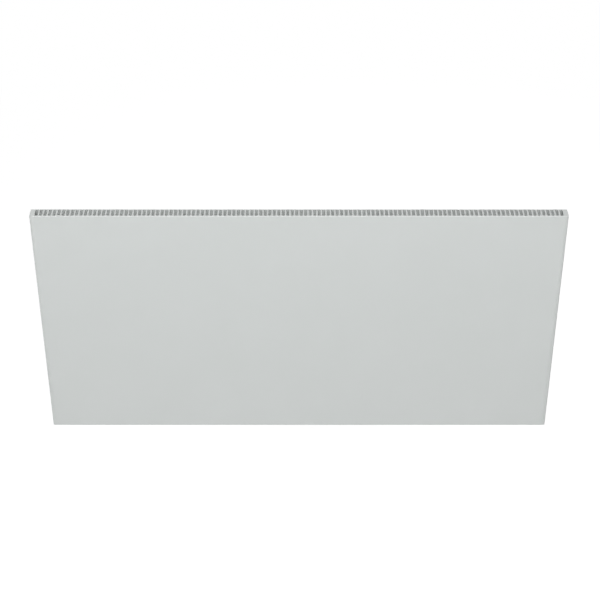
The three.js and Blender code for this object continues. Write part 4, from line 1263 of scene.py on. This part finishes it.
def ring_terminal(stud, back):
    """A flat ring round the stud, a tongue, and a barrel that holds the end of the earth lead."""
    low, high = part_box("earth_lead")
    front = back - RING_SHEET
    lead_y = low.y + LEAD_RADIUS * sqrt(3) / 2
    end = high.x + SEAT_GAP
    start = end - RING_BARREL_LENGTH
    tongue = rounded_box(start + MM, stud.x, stud.z - RING_TONGUE / 2, stud.z + RING_TONGUE / 2, 0)
    return shaped(
        rod(RING_RADIUS, front, back, backward, stud.x, stud.z, ROUND_STEPS),
        ("JOIN", prism(tongue, front, back, backward)),
        ("JOIN", rod(BARREL_RADIUS, start, end, sideways, lead_y, stud.z)),
        ("CUT", rod(BARREL_BORE, start - MM, end + MM, sideways, lead_y, stud.z)),
        ("CUT", pin_holes(EARTH, front - MM, back + MM)),
    )


def cut_out():
    """The thermal cut-out: a drawn cup on the bridge and a moulded body with two blades."""
    low, high, middle = span("cutout_cup")
    radius = (high.x - low.x) / 2
    cup = (
        (radius - CUP_ROUND, low.y),
        (radius - CUP_ROUND / 3, low.y + CUP_ROUND / 4),
        (radius, low.y + CUP_ROUND),
        (radius, high.y - CUP_ROUND / 2),
        (radius - CUP_ROUND / 2, high.y),
    )
    piece("cutout_can", moved(turned(cup, backward), x=middle.x, z=middle.z), "aluminium", "cutout_cup")
    low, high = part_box("cutout_body")
    moulding = rod(CUTOUT_BODY, low.y, high.y, backward, middle.x, middle.z, ROUND_STEPS)
    front, back = (low.y + high.y - BLADE_SHEET) / 2, (low.y + high.y + BLADE_SHEET) / 2
    blades = []
    for z in spread(2, CUTOUT_BLADE_SPACING / 2):
        bottom, top = middle.z + z - BLADE_WIDTH / 2, middle.z + z + BLADE_WIDTH / 2
        strip = prism(rounded_box(middle.x, high.x, bottom, top, MM), front, back, backward)
        eye = rod(BLADE_EYE, front - MM, back + MM, backward, high.x - BLADE_EYE_PLACE, middle.z + z, 20)
        blades.append(shaped(strip, ("CUT", eye)))
    whole = shaped(moulding, ("JOIN", together(blades)))
    piece("cutout_switch", whole, "black_plastic", "cutout_body", edge=CUTOUT_EDGE)


def bridge(node):
    """A strap that presses the insulation forward, with a welded foot at each end."""
    low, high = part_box(node)
    inner, outer = SHEET_BEND, SHEET_BEND + BRIDGE_SHEET
    leg_low, leg_high = low.z + BRIDGE_FOOT, high.z - BRIDGE_FOOT
    section = (
        (low.y, low.z),
        (low.y + BRIDGE_SHEET, low.z),
        (low.y + BRIDGE_SHEET, leg_low - BRIDGE_SHEET, inner),
        (high.y, leg_low - BRIDGE_SHEET, outer),
        (high.y, leg_high + BRIDGE_SHEET, outer),
        (low.y + BRIDGE_SHEET, leg_high + BRIDGE_SHEET, inner),
        (low.y + BRIDGE_SHEET, high.z),
        (low.y, high.z),
        (low.y, leg_high, outer),
        (high.y - BRIDGE_SHEET, leg_high, inner),
        (high.y - BRIDGE_SHEET, leg_low, inner),
        (low.y, leg_low, outer),
    )
    piece(node + "_strap", folded_section(section, low.x, high.x), "galvanised", node, edge=BRIDGE_EDGE)


def soft_lead(node, slot):
    """A lead as round as the real one along the frame's own route, with its ends cut square."""
    mesh = bmesh.new()
    mesh.from_mesh(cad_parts[node].data)
    bmesh.ops.remove_doubles(mesh, verts=mesh.verts, dist=HAIR)
    bmesh.ops.dissolve_limit(mesh, angle_limit=radians(1), verts=mesh.verts, edges=mesh.edges)
    crease = mesh.edges.layers.float.new("crease_edge")
    for face in mesh.faces:
        if len(face.verts) == LEAD_SIDES:
            for edge in face.edges:
                edge[crease] = 1.0
    item = loose_object(node + "_insulation", mesh)
    swell = item.modifiers.new("full_size", "DISPLACE")
    swell.mid_level = 0.0
    swell.strength = LEAD_SWELL
    rounder = item.modifiers.new("rounder", "SUBSURF")
    rounder.levels = 2
    rounder.render_levels = 2
    dress(item, slot)
    settle(item, slot, node)


def push_on(name, blade_tip, turn):
    """A crimped connector: a rolled sleeve over a flat blade and a barrel round the lead's end."""
    sleeve = plate_outline(0.0, 0.0, SLEEVE_THICKNESS, SLEEVE_WIDTH, 0.45 * SLEEVE_THICKNESS)
    blade_room = plate_outline(0.0, 0.0, BLADE_SHEET + PLAY, BLADE_WIDTH + 2 * PLAY, PLAY / 2)
    seam = rounded_box(0.0, SLEEVE_THICKNESS, -PLAY, PLAY, PLAY / 2)
    connector = shaped(
        prism(sleeve, -SLEEVE_LENGTH, SLEEVE_MOUTH, turn),
        ("JOIN", rod(BARREL_RADIUS, 0.0, BARREL_LENGTH, turn)),
        ("CUT", prism(blade_room, -2 * SLEEVE_LENGTH, PLAY, turn)),
        ("CUT", prism(seam, -2 * SLEEVE_LENGTH, 0.0, turn)),
        ("CUT", rod(BARREL_BORE, PLAY / 2, 2 * BARREL_LENGTH, turn)),
    )
    piece(name, moved(connector, *blade_tip), "brass")


def connectors():
    low, high, middle = span("switch_housing")
    left, right = spread(2, BLADE_SPACING / 2)
    push_on("switch_connector_left", (middle.x + left, middle.y, high.z), upward)
    push_on("switch_connector_right", (middle.x + right, middle.y, high.z), upward)
    low, high, middle = span("cutout_body")
    lower, upper = spread(2, CUTOUT_BLADE_SPACING / 2)
    push_on("cutout_connector_lower", (high.x, middle.y, middle.z + lower), sideways)
    push_on("cutout_connector_upper", (high.x, middle.y, middle.z + upper), sideways)


# --- Studio -------------------------------------------------------------------------------------


def background_rays(tree):
    """1 for rays that the camera, a reflection or glass sends, and 0 for the rest."""
    path = tree.nodes.new("ShaderNodeLightPath")
    seen = path.outputs["Is Camera Ray"]
    for kind in ("Is Glossy Ray", "Is Transmission Ray"):
        either = tree.nodes.new("ShaderNodeMath")
        either.operation = "MAXIMUM"
        tree.links.new(seen, either.inputs[0])
        tree.links.new(path.outputs[kind], either.inputs[1])
        seen = either.outputs[0]
    return seen


def room():
    """White to look at, and a moderate even light on the object."""
    world = bpy.data.worlds.new("room")
    bpy.context.scene.world = world
    world.use_nodes = True
    tree = world.node_tree
    light = tree.nodes["Background"]
    light.inputs["Color"].default_value = (1.0, 0.99, 0.985, 1.0)
    light.inputs["Strength"].default_value = ROOM_LIGHT
    white = tree.nodes.new("ShaderNodeBackground")
    white.inputs["Color"].default_value = (1.0, 1.0, 1.0, 1.0)
    white.inputs["Strength"].default_value = 1.0
    either = tree.nodes.new("ShaderNodeMixShader")
    tree.links.new(background_rays(tree), either.inputs[0])
    tree.links.new(light.outputs[0], either.inputs[1])
    tree.links.new(white.outputs[0], either.inputs[2])
    tree.links.new(either.outputs[0], tree.nodes["World Output"].inputs["Surface"])


def floor():
    """A wide pale floor well below the heater. It keeps a soft shadow and fades to white far off."""
    half = FLOOR_SIZE / 2
    plane = bmesh.new()
    corners = ((-half, -half), (half, -half), (half, half), (-half, half))
    plane.faces.new([plane.verts.new((x, y, 0.0)) for x, y in corners])
    item = loose_object("floor", plane)
    item.location = (0.0, 0.0, casing_low.z - FLOOR_DROP)
    paint = Finish("floor_white", Roughness=0.9)
    paint.surface.inputs["Base Color"].default_value = (FLOOR_WHITE, FLOOR_WHITE, FLOOR_WHITE, 1.0)
    away = paint.node("ShaderNodeVectorMath", {"operation": "LENGTH"}, {0: paint.place}, output="Value")
    far = paint.ramp(away, FLOOR_CLEAR, FLOOR_FADE)
    seen = Value(paint, background_rays(paint.tree))
    glow = paint.node("ShaderNodeEmission", inputs={"Strength": FLOOR_GLOW * seen})
    lit = paint.node("ShaderNodeAddShader", inputs={0: Value(paint, paint.surface.outputs[0]), 1: glow})
    white = paint.node("ShaderNodeEmission", inputs={"Strength": 1.0})
    mixed = paint.node("ShaderNodeMixShader", inputs={0: far * seen, 1: lit, 2: white})
    paint.feed(paint.tree.nodes["Material Output"].inputs["Surface"], mixed)
    item.data.materials.append(paint.material)


def lamp(name, place, target, size, power, tint=(1.0, 1.0, 1.0)):
    """A soft box that is twice as wide as it is high."""
    data = bpy.data.lights.new(name, "AREA")
    data.shape = "RECTANGLE"
    data.size = size
    data.size_y = size / 2
    data.energy = power
    data.color = tint
    item = linked(name, data)
    item.location = place
    toward = Vector(target) - Vector(place)
    item.rotation_euler = toward.to_track_quat("-Z", "Y").to_euler()
    item.visible_camera = False


def lamps():
    middle = (0.0, casing_low.y, casing_middle_z)
    lamp("key", (-0.35, -3.3, 2.9), middle, 5.0, 196.0, (0.985, 1.0, 1.0))
    lamp("overhead", (-0.3, -1.0, 4.0), middle, 4.0, 33.0)
    lamp("back_fill", (1.8, 4.5, -1.0), middle, 5.0, 60.0)


def camera():
    """Stands in front of the middle and looks down on the top edge."""
    data = bpy.data.cameras.new("camera")
    data.sensor_width = SENSOR
    data.lens = SENSOR * FOCAL_PIXELS / FRAME_PIXELS
    data.clip_end = 100.0
    item = linked("camera", data)
    bpy.context.scene.camera = item
    toward = Vector((0.0, cos(LOOK_DOWN), -sin(LOOK_DOWN)))
    over = Vector((0.0, sin(LOOK_DOWN), cos(LOOK_DOWN)))
    top_edge = Vector((CAMERA_RIGHT, casing_low.y, casing_high.z))
    item.location = top_edge - toward * TOP_EDGE_DEPTH - over * TOP_EDGE_RISE
    item.rotation_euler = (pi / 2 - LOOK_DOWN, 0.0, 0.0)


# --- Assembly -----------------------------------------------------------------------------------

camera()
room()
lamps()
floor()

front_casing()
rear_panel()
wall_rail()
hook("hanger_left")
hook("hanger_right")
screws()
rivets()
buffer("wall_buffer_left")
buffer("wall_buffer_right")
terminal_box()
terminal_cover()
grommet()
cable_gland()
switch_housing()
rocker()
terminal_block()
earth_fixing()
cut_out()
for number in range(1, 5):
    bridge(f"retaining_bridge_{number}")
for name, slot in LEADS.items():
    soft_lead(name, slot)
connectors()
for name, slot in SHEETS.items():
    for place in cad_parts[name].material_slots:
        place.material = finish_of(slot)

bpy.context.scene.view_settings.view_transform = "Standard"
